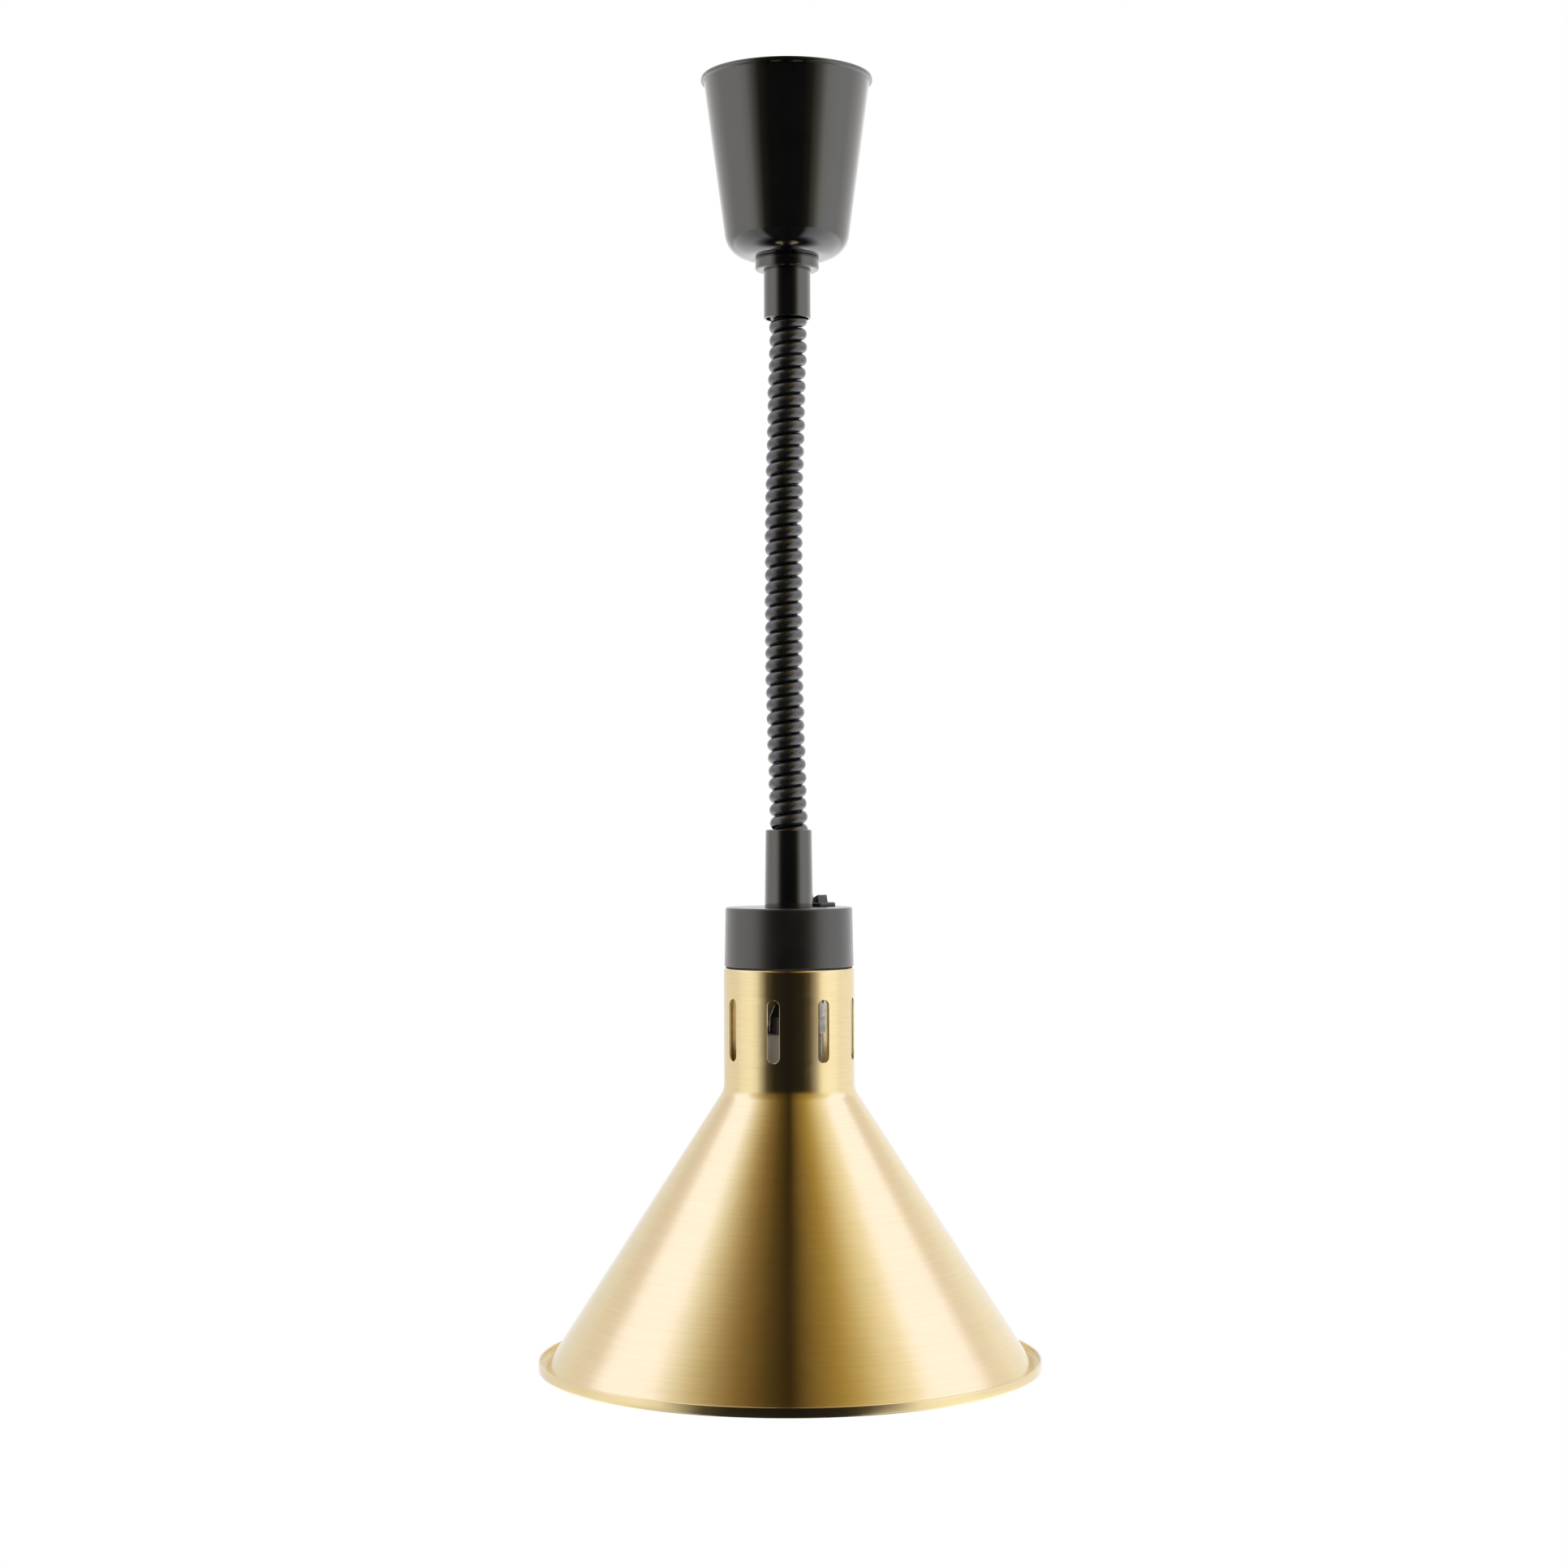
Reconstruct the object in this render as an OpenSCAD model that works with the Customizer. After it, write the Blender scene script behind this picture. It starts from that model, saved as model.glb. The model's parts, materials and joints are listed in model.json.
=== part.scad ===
// Pendant heat lamp warmer: a ceiling cup with a spring reel, a coiled cord
// round a steel wire, and a conical shade with an infrared reflector bulb.
// Millimetres, +Z up, origin where the lamp meets the ceiling, front towards -Y.

/* [Ceiling cup] */
// Outer diameter of the cup's wall at the ceiling
cup_top_d = 89.9; // [88:0.1:120]
// Outer diameter that the tapered wall would have at the foot
cup_foot_d = 63.9; // [62:0.1:80]
// Height of the cup
cup_h = 97; // [95:0.5:130]
// Thickness of the cup's sheet
cup_wall = 1.6; // [1:0.1:2]
// Outer rounding between the cup's wall and its foot
cup_fillet = 14; // [8:0.5:16]
// How far the rim's bead stands out from the wall
bead_out = 1.3; // [0.5:0.1:3]
// Height of the rim's bead
bead_h = 2.5; // [1.5:0.1:5]

/* [Collar and lock ring] */
// Length of the collar below the cup's foot
collar_drop = 32.6; // [24:0.1:50]
// Thickness of the collar's wall
collar_wall = 1.2; // [1:0.1:2.5]
// Width of the lock ring's land outside the collar
ring_land = 4.6; // [3:0.1:7]
// Height of the lock ring
ring_h = 6.6; // [5.5:0.1:10]
// Diameter of the lock ring's grub screw
lock_screw_d = 4; // [3:0.5:4.5]

/* [Ceiling strap and reel frame] */
// Distance between the two ceiling screw holes
strap_pitch = 60; // [56:0.5:66]
// Diameter of the ceiling screw holes
strap_hole_d = 4.5; // [4:0.1:5.5]
// Width of the ceiling strap
strap_w = 22; // [18:0.5:26]
// Thickness of the ceiling strap
strap_t = 2; // [1.5:0.1:3]
// Thickness of the reel frame's sheet
frame_t = 1.5; // [1.2:0.1:2]
// Clearance between the collar's nut and each cheek of the frame
nut_clear = 0.25; // [0.2:0.05:2]

/* [Reel] */
// Diameter of the steel suspension wire
wire_d = 1.2; // [1:0.02:1.5]
// Radius at which the wire runs on the drum
reel_r = 16; // [14:0.1:17]
// How far the drum's flanges stand above the wire's running radius
flange_up = 4; // [2:0.1:4.5]
// Number of turns of wire on each side of the drum's middle
side_turns = 6; // [4:1:6]
// Depth of the reel's axle below the ceiling
reel_drop = 30; // [28:0.5:34]
// Diameter of the reel's axle
axle_d = 6; // [5:0.1:7]
// Number of turns in the balance spring
spring_turns = 6; // [4:1:8]
// Thickness of the balance spring's strip
spring_t = 0.4; // [0.3:0.05:0.6]

/* [Coiled cord] */
// Diameter of the cord itself
cord_d = 7; // [6:0.1:8.4]
// Diameter of the free bore down the middle of the coil
coil_bore_d = 6.5; // [6.2:0.1:8]
// Length of coil that shows between the collar and the sleeve
coil_len = 274.9; // [260:0.1:290]

/* [Sleeve and lamp cap] */
// Height of the sleeve on top of the lamp cap
sleeve_h = 41.7; // [38:0.1:60]
// Thickness of the sleeve's wall at its top
sleeve_wall = 1.5; // [1:0.1:3]
// How much wider the sleeve is at its foot than at its top
sleeve_flare = 1.2; // [0:0.1:3]
// Diameter of the lamp cap at its top
cap_top_d = 68.3; // [66:0.1:84]
// Diameter of the lamp cap at its foot
cap_foot_d = 69.5; // [67:0.1:84]
// Height of the lamp cap
cap_h = 31.6; // [28:0.1:45]
// Thickness of the lamp cap's wall
cap_wall = 1.5; // [1:0.1:2.5]
// Thickness of the fibre gasket between cap and shade
gasket_t = 0.7; // [0.5:0.1:2]
// Diameter of the hollow nipple that carries the lamp
nipple_d = 20; // [18.6:0.1:21]

/* [Shade] */
// Diameter of the shade's neck
neck_d = 70.4; // [70:0.1:90]
// Height of the neck down to where the cone's line meets it
neck_h = 65.6; // [58:0.1:80]
// Outer diameter of the shade's rim
rim_d = 270; // [240:1:330]
// Angle between the cone and the lamp's axis
cone_angle = 32.9; // [28:0.1:38]
// Thickness of the shade's sheet
shade_wall = 1; // [0.8:0.1:1.5]
// Radius of the soft bend between neck and cone
bend_r = 12; // [4:0.5:20]
// Rounding of the neck's top edge
neck_round = 1.5; // [1.1:0.1:4]
// Width of the gutter's floor inside the turned-up lip
gutter_w = 3; // [1:0.1:6]
// Thickness of the turned-up lip
lip_t = 1.2; // [0.8:0.1:2]
// Height of the turned-up lip
lip_h = 5.5; // [3:0.1:9]
// Number of vent slots round the neck
slot_count = 8; // [4:1:10]
// Width of a vent slot
slot_w = 6.6; // [3:0.1:9]
// Length of a vent slot, end to end
slot_l = 33.2; // [20:0.1:36]
// Distance from the neck's top down to the slots
slot_top = 15.9; // [12:0.1:20]
// Angle of the first slot from the front, towards the right
slot_turn = 31; // [0:1:44]

/* [Lampholder] */
// Distance from the neck's top down to the ceramic body
holder_drop = 35.5; // [34:0.1:45]
// Thickness of the ceramic body's wall round the screw shell
holder_wall = 3.7; // [3:0.1:6]
// Thickness of the ceramic body's floor above the centre contact
holder_floor = 10; // [8:0.1:14]
// Clearance between the bulb's cap and the screw shell
shell_clear = 0.5; // [0.3:0.05:0.8]
// Angle of the bracket's legs from the front, towards the right
bracket_turn = 75; // [60:1:120]
// Width of the bracket's strap
bracket_w = 12; // [8:0.1:14]
// Thickness of the bracket's strap
bracket_t = 1.5; // [1:0.1:2]

/* [Bulb] */
// Diameter of the reflector bulb
bulb_d = 125; // [95:1:130]
// Length of the bulb from its contact to its face
bulb_l = 162; // [150:1:170]
// Diameter of the bulb's glass neck
bulb_neck_d = 42; // [38:0.5:46]
// Diameter of the bulb's screw cap
bulb_cap_d = 26.4; // [26:0.1:33]
// Length of the bulb's screw cap
bulb_cap_l = 22; // [20:0.1:26]
// Thickness of the bulb's glass
glass_t = 1.2; // [0.8:0.1:2]

/* [Switch] */
// Bearing of the switch on the lamp cap, from the right towards the back
switch_bearing = 48.3; // [45:0.1:52]
// Gap between the sleeve's foot and the switch
switch_gap = 1.15; // [1:0.05:3]
// Length of the switch's bezel
bezel_l = 21; // [18:0.1:23]
// Width of the switch's bezel
bezel_w = 13; // [11.8:0.1:13.5]
// Height of the bezel above the lamp cap
bezel_h = 2.2; // [1.5:0.1:3]
// Length of the rocker
rocker_l = 14; // [12:0.1:15]
// Width of the rocker
rocker_w = 7.6; // [6:0.1:8]
// Tilt of the rocker from level at either end of its throw
rocker_tilt = 12; // [8:0.5:13]

/* [Hidden] */
$fn = 64;

// Clearances and small standard sizes
run_gap = 0.05;
slide_gap = 0.08;
seat_gap = 0.3;
overcut = 1;
arc_steps = 10;
lead_r = 1.2;
m3_r = 1.5;
m4_r = 2;
screw_head_r = 2.8;
screw_head_h = 2;

// Cord, coil and what grips them
cord_r = cord_d / 2;
coil_r = coil_bore_d / 2 + cord_d;
cord_hole_r = cord_r + run_gap;
wire_r = wire_d / 2;
wire_hole_r = wire_r + 0.4;
hole_wall = 0.6;
cord_off = wire_hole_r + hole_wall + cord_hole_r;
grip_wall = 0.5;
grip_r = cord_off + cord_hole_r + grip_wall;
grip_l = 14;
coil_seat = 8;

// Collar, its nut and the lock ring
collar_clear = 1.2;
collar_r = coil_r + collar_clear + collar_wall;
collar_bore_r = collar_r - collar_wall;
spigot_wall = 1.5;
spigot_r = grip_r + run_gap + spigot_wall;
nut_wall = 2;
collar_nut_h = 4;
collar_nut_af = 2 * (spigot_r + nut_wall);
collar_nut_r = collar_nut_af / 2 / cos(30);
ring_r = collar_r + ring_land;
ring_bore_r = collar_r + slide_gap;
ring_edge = 0.4;
ring_round = 1.2;
spigot_land = 0.9;
ring_spigot_r = ring_bore_r + spigot_land;
cup_hole_r = ring_spigot_r + 0.2;

// Reel
barrel_r = reel_r - wire_r - 0.02;
barrel_wall = 2;
drum_bore_r = barrel_r - barrel_wall;
drum_flange_r = reel_r + flange_up;
turn_pitch = wire_d + 0.4;
drum_half = side_turns * turn_pitch + wire_r + 0.4;
flange_t = 0.8;
hub_r = 6.5;
hub_stand = 1;
bush_r = 5;
axle_r = axle_d / 2;
axle_over = 2.6;
cover_t = 0.6;
cover_lap = 2;
groove_depth = 0.4;
clip_t = 0.8;
clip_r = axle_r + 2.5;
clip_mouth = 0.7 * axle_r;

// Balance spring
spring_in = axle_r + 0.5;
spring_out = drum_bore_r - seat_gap - spring_t;
spring_step = 15;
spring_inset = 1;
spring_tab_foot = 0.6;

// Ceiling strap and reel frame, with room for the collar's nut and the drum
strap_l = cup_top_d - 2 * cup_wall - 7;
frame_gap = max(collar_nut_af + 2 * nut_clear,
                2 * (drum_half + flange_t + cover_t + hub_stand));
cheek_x = frame_gap / 2;
hub_face = cheek_x - seat_gap;
frame_x = cheek_x + frame_t;
flange_l = 9.5;
frame_top = -strap_t;
frame_half_w = 10;
frame_screw_x = frame_x + flange_l / 2;
frame_screw_y = 5;
cheek_back = 24;
cheek_shoulder = 16;
web_up = 17;
web_t = 2;
web_back = 20;
shelf_t = 1.5;
shelf_up = 9;
shelf_lip = 2;

// Terminal block, in front of the collar's nut
block_w = frame_gap - 2;
block_h = 12;
block_l = 9.5;
block_back = -collar_nut_r - seat_gap;
block_front = block_back - block_l;
block_mid = block_back - block_l / 2;
web_front = block_front - 0.5;
terminal_pitch = block_w / 3;
terminal_r = 1.7;
insert_wall = 0.8;
insert_inset = 0.5;
screw_sink = 1;
core_off = 2.1;

// Heights from the ceiling down to the foot of the collar
z_reel = -reel_drop;
z_foot = -cup_h;
z_ring = z_foot - ring_h;
z_collar = z_foot - collar_drop;
z_web = z_foot + web_up;
z_shelf = z_web + web_t + shelf_up;
z_terminal = z_shelf + block_h / 2;
z_collar_nut = z_web + web_t + collar_nut_h;
z_spigot = z_collar_nut + 1;
z_grip_low = z_web - 12;
z_tail_top = z_grip_low + grip_l + 3;

// Cup
cup_taper = atan((cup_top_d - cup_foot_d) / 2 / cup_h);
function cup_r(z) = cup_top_d / 2 + z * tan(cup_taper);

// Sleeve, nipple and cap
sleeve_clear = 0.75;
sleeve_bore_r = coil_r + sleeve_clear;
sleeve_top_r = sleeve_bore_r + sleeve_wall;
sleeve_foot_r = sleeve_top_r + sleeve_flare / 2;
sleeve_floor = 3.2;
sleeve_edge = 0.3;
sleeve_round = 0.7;
nipple_r = nipple_d / 2;
nipple_wall = 1.9;
nipple_bore_r = nipple_r - nipple_wall;
cap_hole_r = nipple_r + 0.1;
cap_plate = 2;
cap_round = 1.2;
gasket_in = 0.75;
gasket_w = 3;
low_grip_r = sleeve_bore_r - run_gap;
low_grip_l = 12;
bridge_t = 3;
cord_jacket = 0.5;
lead_off = cord_r - lead_r - cord_jacket;
bridge_hole_r = lead_off + lead_r + 0.2;
ferrule_r = wire_r + 1.3;
ferrule_l = 7;
nut_h = 5;
nut_af = nipple_d + 6;

// Heights from the sleeve down to the nipple's end
z_sleeve = z_collar - coil_len;
z_cap = z_sleeve - sleeve_h;
z_cap_foot = z_cap - cap_h;
z_neck = z_cap_foot - gasket_t;
z_bend = z_neck - neck_h;
z_low_grip = z_sleeve - coil_seat - 1.5;
z_bridge = z_low_grip - low_grip_l;
z_nipple = z_bridge - bridge_t;
z_bracket = z_neck - shade_wall - 0.2;
z_nut = z_bracket - bracket_t;
z_nipple_end = z_nut - nut_h - 5.8;

// Shade
neck_r = neck_d / 2;
rim_r = rim_d / 2;
gutter_r = rim_r - lip_t - gutter_w;
floor_drop = 0.4;
z_gutter = z_bend - (gutter_r - neck_r) / tan(cone_angle);
z_rim = z_gutter - shade_wall - floor_drop;
z_lip = z_rim + lip_h;
bend_len = bend_r * tan(cone_angle / 2);
wall_across = shade_wall / cos(cone_angle);

// Lampholder
z_holder = z_neck - holder_drop;
shell_r = bulb_cap_d / 2 + shell_clear;
shell_t = 0.6;
holder_r = shell_r + shell_t + holder_wall;
holder_edge = 1.5;
leg_in = holder_r - 0.8;
leg_out = leg_in + bracket_t;
foot_screw_r = holder_r - 4;
foot_in = holder_r - 7;
foot_screw_floor = 3;
bracket_hub_r = nipple_r + 5.5;
leg_hole_r = 2;
leg_hole_up = 18;
cover_r = foot_in - 0.5;
cover_top_r = cover_r - 2.5;
cover_cone = 6;
cover_h = 15;
cover_wall = 1.2;
cover_mouth_r = 5;
contact_t = 1.5;
contact_r = 4;
contact_stem_r = 2;
z_contact = z_holder - holder_floor - contact_t;

// Bulb
bulb_r = bulb_d / 2;
z_face = z_contact - bulb_l;
face_crown = 9;
face_drop = 28;
cap_tip = 1.5;
insulator_h = 3.5;
bulb_cap_r = bulb_cap_d / 2;
bulb_cap_t = 0.8;
z_bulb_cap = z_contact - cap_tip - insulator_h;
z_glass = z_bulb_cap - bulb_cap_l;
z_holder_foot = z_glass + 0.5;
glass_tuck = 6;
z_glass_neck = z_glass - 14;
bulb_neck_r = bulb_neck_d / 2;
neck_run = 12;
thread_turns = 5;
thread_pitch = 3.6;
thread_r = 1;
glass_seat_r = bulb_cap_r - thread_r - bulb_cap_t - 0.1;
stem_r = 4;
stem_collar = 2;
z_stem_tip = z_glass_neck - 28;
filament_r = 12;
filament_drop = 12;
filament_wire = 0.6;

// Switch, in its own frame: u along the rocker, v up from the lamp cap
switch_turn = switch_bearing - 93.3;
switch_reach = sleeve_foot_r + switch_gap + bezel_w / 2;
switch_x = switch_reach * cos(switch_bearing);
switch_y = switch_reach * sin(switch_bearing);
housing_l = bezel_l - 2;
housing_w = bezel_w - 1.6;
housing_drop = 13;
pocket_drop = 7;
pocket_l = rocker_l + 1.8;
pocket_w = rocker_w + 2 * seat_gap;
pivot_v = 0.8;
pin_r = 1;
pin_half = housing_w / 2 - 0.8;
rocker_end_v = 5;
rocker_mid_v = 3.9;
rocker_low_v = -3;
rocker_taper = 3;
spade_w = 4.8;
spade_t = 0.8;
spade_l = 8;
spade_u = 4;
core_across = 1.6;
window_r = 3.6;
window_drop = 12;

// The coil hangs in a slight bow; points down its middle, chosen by hand
coil_route = [
    [0.4, 0, -122], [0.5, 0, -130], [0.4, 0, -145], [-0.2, 0, -160], [-0.7, 0, -180],
    [-1.2, 0, -200], [-1.9, 0, -220], [-2.2, 0, -245], [-2.3, 0, -275], [-2.3, 0, -305],
    [-2, 0, -330], [-1.4, 0, -350], [-0.8, 0, -370], [-0.3, 0, -390], [0.3, 0, -404],
    [0.4, 0, -412]
];

// ---------- Geometry helpers ----------

// Points on an arc round c, from angle a to angle b
function arc(c, r, a, b, n = arc_steps) =
    [for (i = [0:n]) let (t = a + (b - a) * i / n) c + r * [cos(t), sin(t)]];

// Points on a cubic curve with end points p and s and handles q and h
function curve(p, q, h, s, n = 16) =
    [for (i = [0:n]) let (t = i / n, m = 1 - t)
        m * m * m * p + 3 * m * m * t * q + 3 * m * t * t * h + t * t * t * s];

// One point of a smooth line between b and c, with neighbours a and d
function between(a, b, c, d, t) =
    0.5 * (2 * b + (c - a) * t + (2 * a - 5 * b + 4 * c - d) * t * t
           + (3 * b - a - 3 * c + d) * t * t * t);

// A smooth line through every point of p, with n steps between two of them
function smooth(p, n = 5) = concat(
    [for (i = [0:len(p) - 2]) for (j = [0:n - 1])
        between(p[max(i - 1, 0)], p[i], p[i + 1], p[min(i + 2, len(p) - 1)], j / n)],
    [p[len(p) - 1]]);

function unit(v) = v / norm(v);

// The line's direction at point i
function heading(p, i) = unit(p[min(i + 1, len(p) - 1)] - p[max(i - 1, 0)]);

function flip(list) = [for (i = [len(list) - 1:-1:0]) list[i]];

// A point at distance r from the axis, on the bearing of the switch, shifted across it
function towards_switch(r, across, z) = [
    r * cos(switch_bearing) - across * sin(switch_bearing),
    r * sin(switch_bearing) + across * cos(switch_bearing), z];

// Faces between ring i and ring i + 1 of a swept tube
function band(i, sides) = [for (k = [0:sides - 1])
    [i * sides + k, i * sides + (k + 1) % sides,
     (i + 1) * sides + (k + 1) % sides, (i + 1) * sides + k]];

// A round lead swept along a line that never runs along X
module lead(path, r = lead_r, sides = 8) {
    count = len(path);
    points = [for (i = [0:count - 1])
        let (t = heading(path, i), s = unit(cross(t, [1, 0, 0])), w = cross(t, s))
        for (k = [0:sides - 1])
            path[i] + r * (cos(360 * k / sides) * s + sin(360 * k / sides) * w)];
    faces = concat(
        [[for (k = [0:sides - 1]) k]],
        [for (i = [0:count - 2]) for (f = band(i, sides)) flip(f)],
        [[for (k = [sides - 1:-1:0]) (count - 1) * sides + k]]);
    polyhedron(points, faces, convexity = 6);
}

// A ring-shaped solid between two heights
module tube(r_out, r_in, z_top, z_low) {
    difference() {
        translate([0, 0, z_low]) cylinder(r = r_out, h = z_top - z_low);
        translate([0, 0, z_low - overcut]) cylinder(r = r_in, h = z_top - z_low + 2 * overcut);
    }
}

// A solid round bar between two heights
module bar(r, z_top, z_low) {
    translate([0, 0, z_low]) cylinder(r = r, h = z_top - z_low);
}

// A round bar along X between x_a and x_b
module bar_x(r, x_a, x_b) {
    translate([x_a, 0, 0]) rotate([0, 90, 0]) cylinder(r = r, h = x_b - x_a);
}

// A hexagon between two heights, af across its flats
module hexagon(af, z_top, z_low) {
    translate([0, 0, z_low]) cylinder(d = af / cos(30), h = z_top - z_low, $fn = 6);
}

module at_reel() {
    translate([0, reel_r, z_reel]) children();
}

module at_switch() {
    translate([switch_x, switch_y, z_cap]) rotate(switch_turn) children();
}

// ---------- Ceiling strap and reel frame ----------

module ceiling_strap() {
    color("silver") difference() {
        translate([-strap_l / 2, -strap_w / 2, frame_top]) cube([strap_l, strap_w, strap_t]);
        for (side = [-1, 1])
            translate([side * strap_pitch / 2, 0, 0]) bar(strap_hole_d / 2, overcut, frame_top - overcut);
        frame_screw_places() bar(m3_r, overcut, frame_top - overcut);
    }
}

module frame_screw_places() {
    for (x = [-frame_screw_x, frame_screw_x], y = [-frame_screw_y, frame_screw_y])
        translate([x, y, 0]) children();
}

// Outline of a cheek, seen from the side: Y across, Z up
module cheek_outline() {
    polygon([
        [-frame_half_w, frame_top], [frame_half_w, frame_top],
        [cheek_back, frame_top - cheek_shoulder], [cheek_back, z_reel - cheek_shoulder],
        [web_back, z_web], [web_front, z_web],
        [web_front, z_shelf + shelf_lip], [-frame_half_w, z_reel]]);
}

module reel_frame() {
    color("lightgray") difference() {
        union() {
            for (x = [-frame_x, cheek_x])
                translate([x, 0, 0]) rotate([90, 0, 90]) linear_extrude(frame_t) cheek_outline();
            for (x = [-frame_x - flange_l, frame_x])
                translate([x, -frame_half_w, frame_top - frame_t])
                    cube([flange_l, 2 * frame_half_w, frame_t]);
            translate([-frame_x, web_front, z_web])
                cube([2 * frame_x, web_back - web_front, web_t]);
            translate([-frame_x, web_front, z_shelf - shelf_t])
                cube([2 * frame_x, block_back - web_front, shelf_t]);
        }
        bar(spigot_r + run_gap, z_web + web_t + overcut, z_web - overcut);
        at_reel() bar_x(axle_r, -frame_x - overcut, frame_x + overcut);
        frame_screw_places() bar(m3_r, overcut, frame_top - frame_t - overcut);
    }
}

module frame_screws() {
    color("gray") frame_screw_places() {
        bar(m3_r, 0, frame_top - frame_t);
        bar(screw_head_r, frame_top - frame_t, frame_top - frame_t - screw_head_h);
    }
}

// ---------- Reel ----------

module reel_axle() {
    color("silver") at_reel() difference() {
        bar_x(axle_r, -frame_x - axle_over, frame_x + axle_over);
        translate([-drum_half, -spring_t, 0]) cube([2 * drum_half, 2 * spring_t, axle_r + overcut]);
    }
}

module axle_clips() {
    color("dimgray") at_reel() for (side = [0, 1]) mirror([side, 0, 0]) difference() {
        bar_x(clip_r, frame_x, frame_x + clip_t);
        bar_x(axle_r, frame_x - overcut, frame_x + clip_t + overcut);
        translate([frame_x - overcut, -clip_mouth, -clip_r - overcut])
            cube([clip_t + 2 * overcut, 2 * clip_mouth, clip_r + overcut]);
    }
}

// Radius of the spring's strip a given number of degrees after the axle
function spring_r(turn) = spring_in + (spring_out - spring_in) * turn / (360 * spring_turns);

module balance_spring() {
    turns = [for (a = [0:spring_step:360 * spring_turns]) a];
    inner = [for (a = turns) spring_r(a) * [sin(a), cos(a)]];
    outer = [for (a = turns) (spring_r(a) + spring_t) * [sin(a), cos(a)]];
    color("steelblue") at_reel() rotate([90, 0, 90])
        translate([0, 0, spring_inset - drum_half]) linear_extrude(2 * (drum_half - spring_inset)) {
            polygon(concat(inner, flip(outer)));
            translate([-spring_t / 2, spring_tab_foot])
                square([spring_t, spring_in + spring_t / 2 - spring_tab_foot]);
        }
}

module wire_drum() {
    color("gainsboro") at_reel() difference() {
        union() {
            bar_x(barrel_r, -drum_half - flange_t, drum_half + flange_t);
            for (x = [-drum_half - flange_t, drum_half])
                bar_x(drum_flange_r, x, x + flange_t);
            bar_x(hub_r, -hub_face, -drum_half);
        }
        bar_x(drum_bore_r, -drum_half, drum_half + flange_t + overcut);
        bar_x(bush_r, -hub_face - overcut, 0);
        difference() {
            bar_x(barrel_r + overcut, -turn_pitch / 2, turn_pitch / 2);
            bar_x(barrel_r - groove_depth, -turn_pitch, turn_pitch);
        }
    }
}

module drum_cover() {
    color("darkgray") at_reel() difference() {
        union() {
            bar_x(drum_bore_r + cover_lap, drum_half + flange_t, drum_half + flange_t + cover_t);
            bar_x(hub_r, drum_half + flange_t, hub_face);
        }
        bar_x(bush_r, 0, hub_face + overcut);
    }
}

module drum_bushes() {
    color("peru") at_reel() for (side = [0, 1]) mirror([side, 0, 0]) difference() {
        bar_x(bush_r, drum_half + (side == 0 ? flange_t : 0), hub_face);
        bar_x(axle_r + run_gap, 0, hub_face + overcut);
    }
}

module wire_winding() {
    color("slategray") at_reel() for (side = [-1, 1], turn = [1:side_turns])
        translate([side * turn * turn_pitch, 0, 0]) rotate([0, 90, 0])
            rotate_extrude() translate([reel_r, 0]) circle(r = wire_r, $fn = 16);
}

module suspension_wire() {
    color("slategray") bar(wire_r, z_reel, z_nipple + seat_gap, $fn = 24);
}

// ---------- Collar, cord grip and terminals ----------

module collar_tube() {
    color("black") difference() {
        union() {
            bar(collar_r, z_web, z_collar);
            bar(spigot_r, z_spigot, z_web);
        }
        bar(collar_bore_r, z_grip_low, z_collar - overcut);
        bar(grip_r + run_gap, z_spigot + overcut, z_grip_low - overcut);
    }
}

module collar_nut() {
    color("dimgray") difference() {
        rotate(30) hexagon(collar_nut_af, z_collar_nut, z_web + web_t);
        bar(spigot_r, z_spigot, z_web);
    }
}

// Bored plug that holds the cord beside the wire
module cord_grip(r, z_top, z_low) {
    difference() {
        bar(r, z_top, z_low);
        bar(wire_hole_r, z_top + overcut, z_low - overcut);
        translate([0, -cord_off, 0]) bar(cord_hole_r, z_top + overcut, z_low - overcut);
    }
}

module upper_cord_grip() {
    color("ivory") cord_grip(grip_r, z_grip_low + grip_l, z_grip_low);
}

// The cord's straight end, from the first turn of the coil up through the grip
module upper_cord_tail() {
    color([0.08, 0.08, 0.08]) translate([0, -cord_off, 0])
        bar(cord_r, z_tail_top, coil_route[0].z);
}

module terminal_places() {
    for (i = [-1:1]) translate([i * terminal_pitch, 0, 0]) children();
}

// A bar along Y between y_a and y_b, at the height of the terminals
module bar_y(r, y_a, y_b) {
    translate([0, y_b, z_terminal]) rotate([90, 0, 0]) cylinder(r = r, h = y_b - y_a);
}

module terminal_block() {
    color("white") difference() {
        translate([-block_w / 2, block_front, z_shelf]) cube([block_w, block_l, block_h]);
        terminal_places() {
            bar_y(terminal_r + insert_wall, block_front - overcut, block_back + overcut);
            translate([0, block_mid, 0])
                bar(screw_head_r, z_shelf + block_h + overcut, z_terminal);
        }
    }
}

module terminal_inserts() {
    color("gold") terminal_places() difference() {
        bar_y(terminal_r + insert_wall, block_front + insert_inset, block_back - insert_inset);
        bar_y(terminal_r, block_front - overcut, block_back + overcut);
        translate([0, block_mid, 0]) bar(m3_r + run_gap, z_shelf + block_h, z_terminal);
    }
}

module terminal_screws() {
    z_top = z_shelf + block_h - screw_sink;
    color("silver") terminal_places() translate([0, block_mid, 0]) {
        bar(m3_r, z_top, z_terminal + lead_r + run_gap);
        bar(screw_head_r - 0.2, z_top, z_terminal + terminal_r + insert_wall + 1);
    }
}

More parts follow.
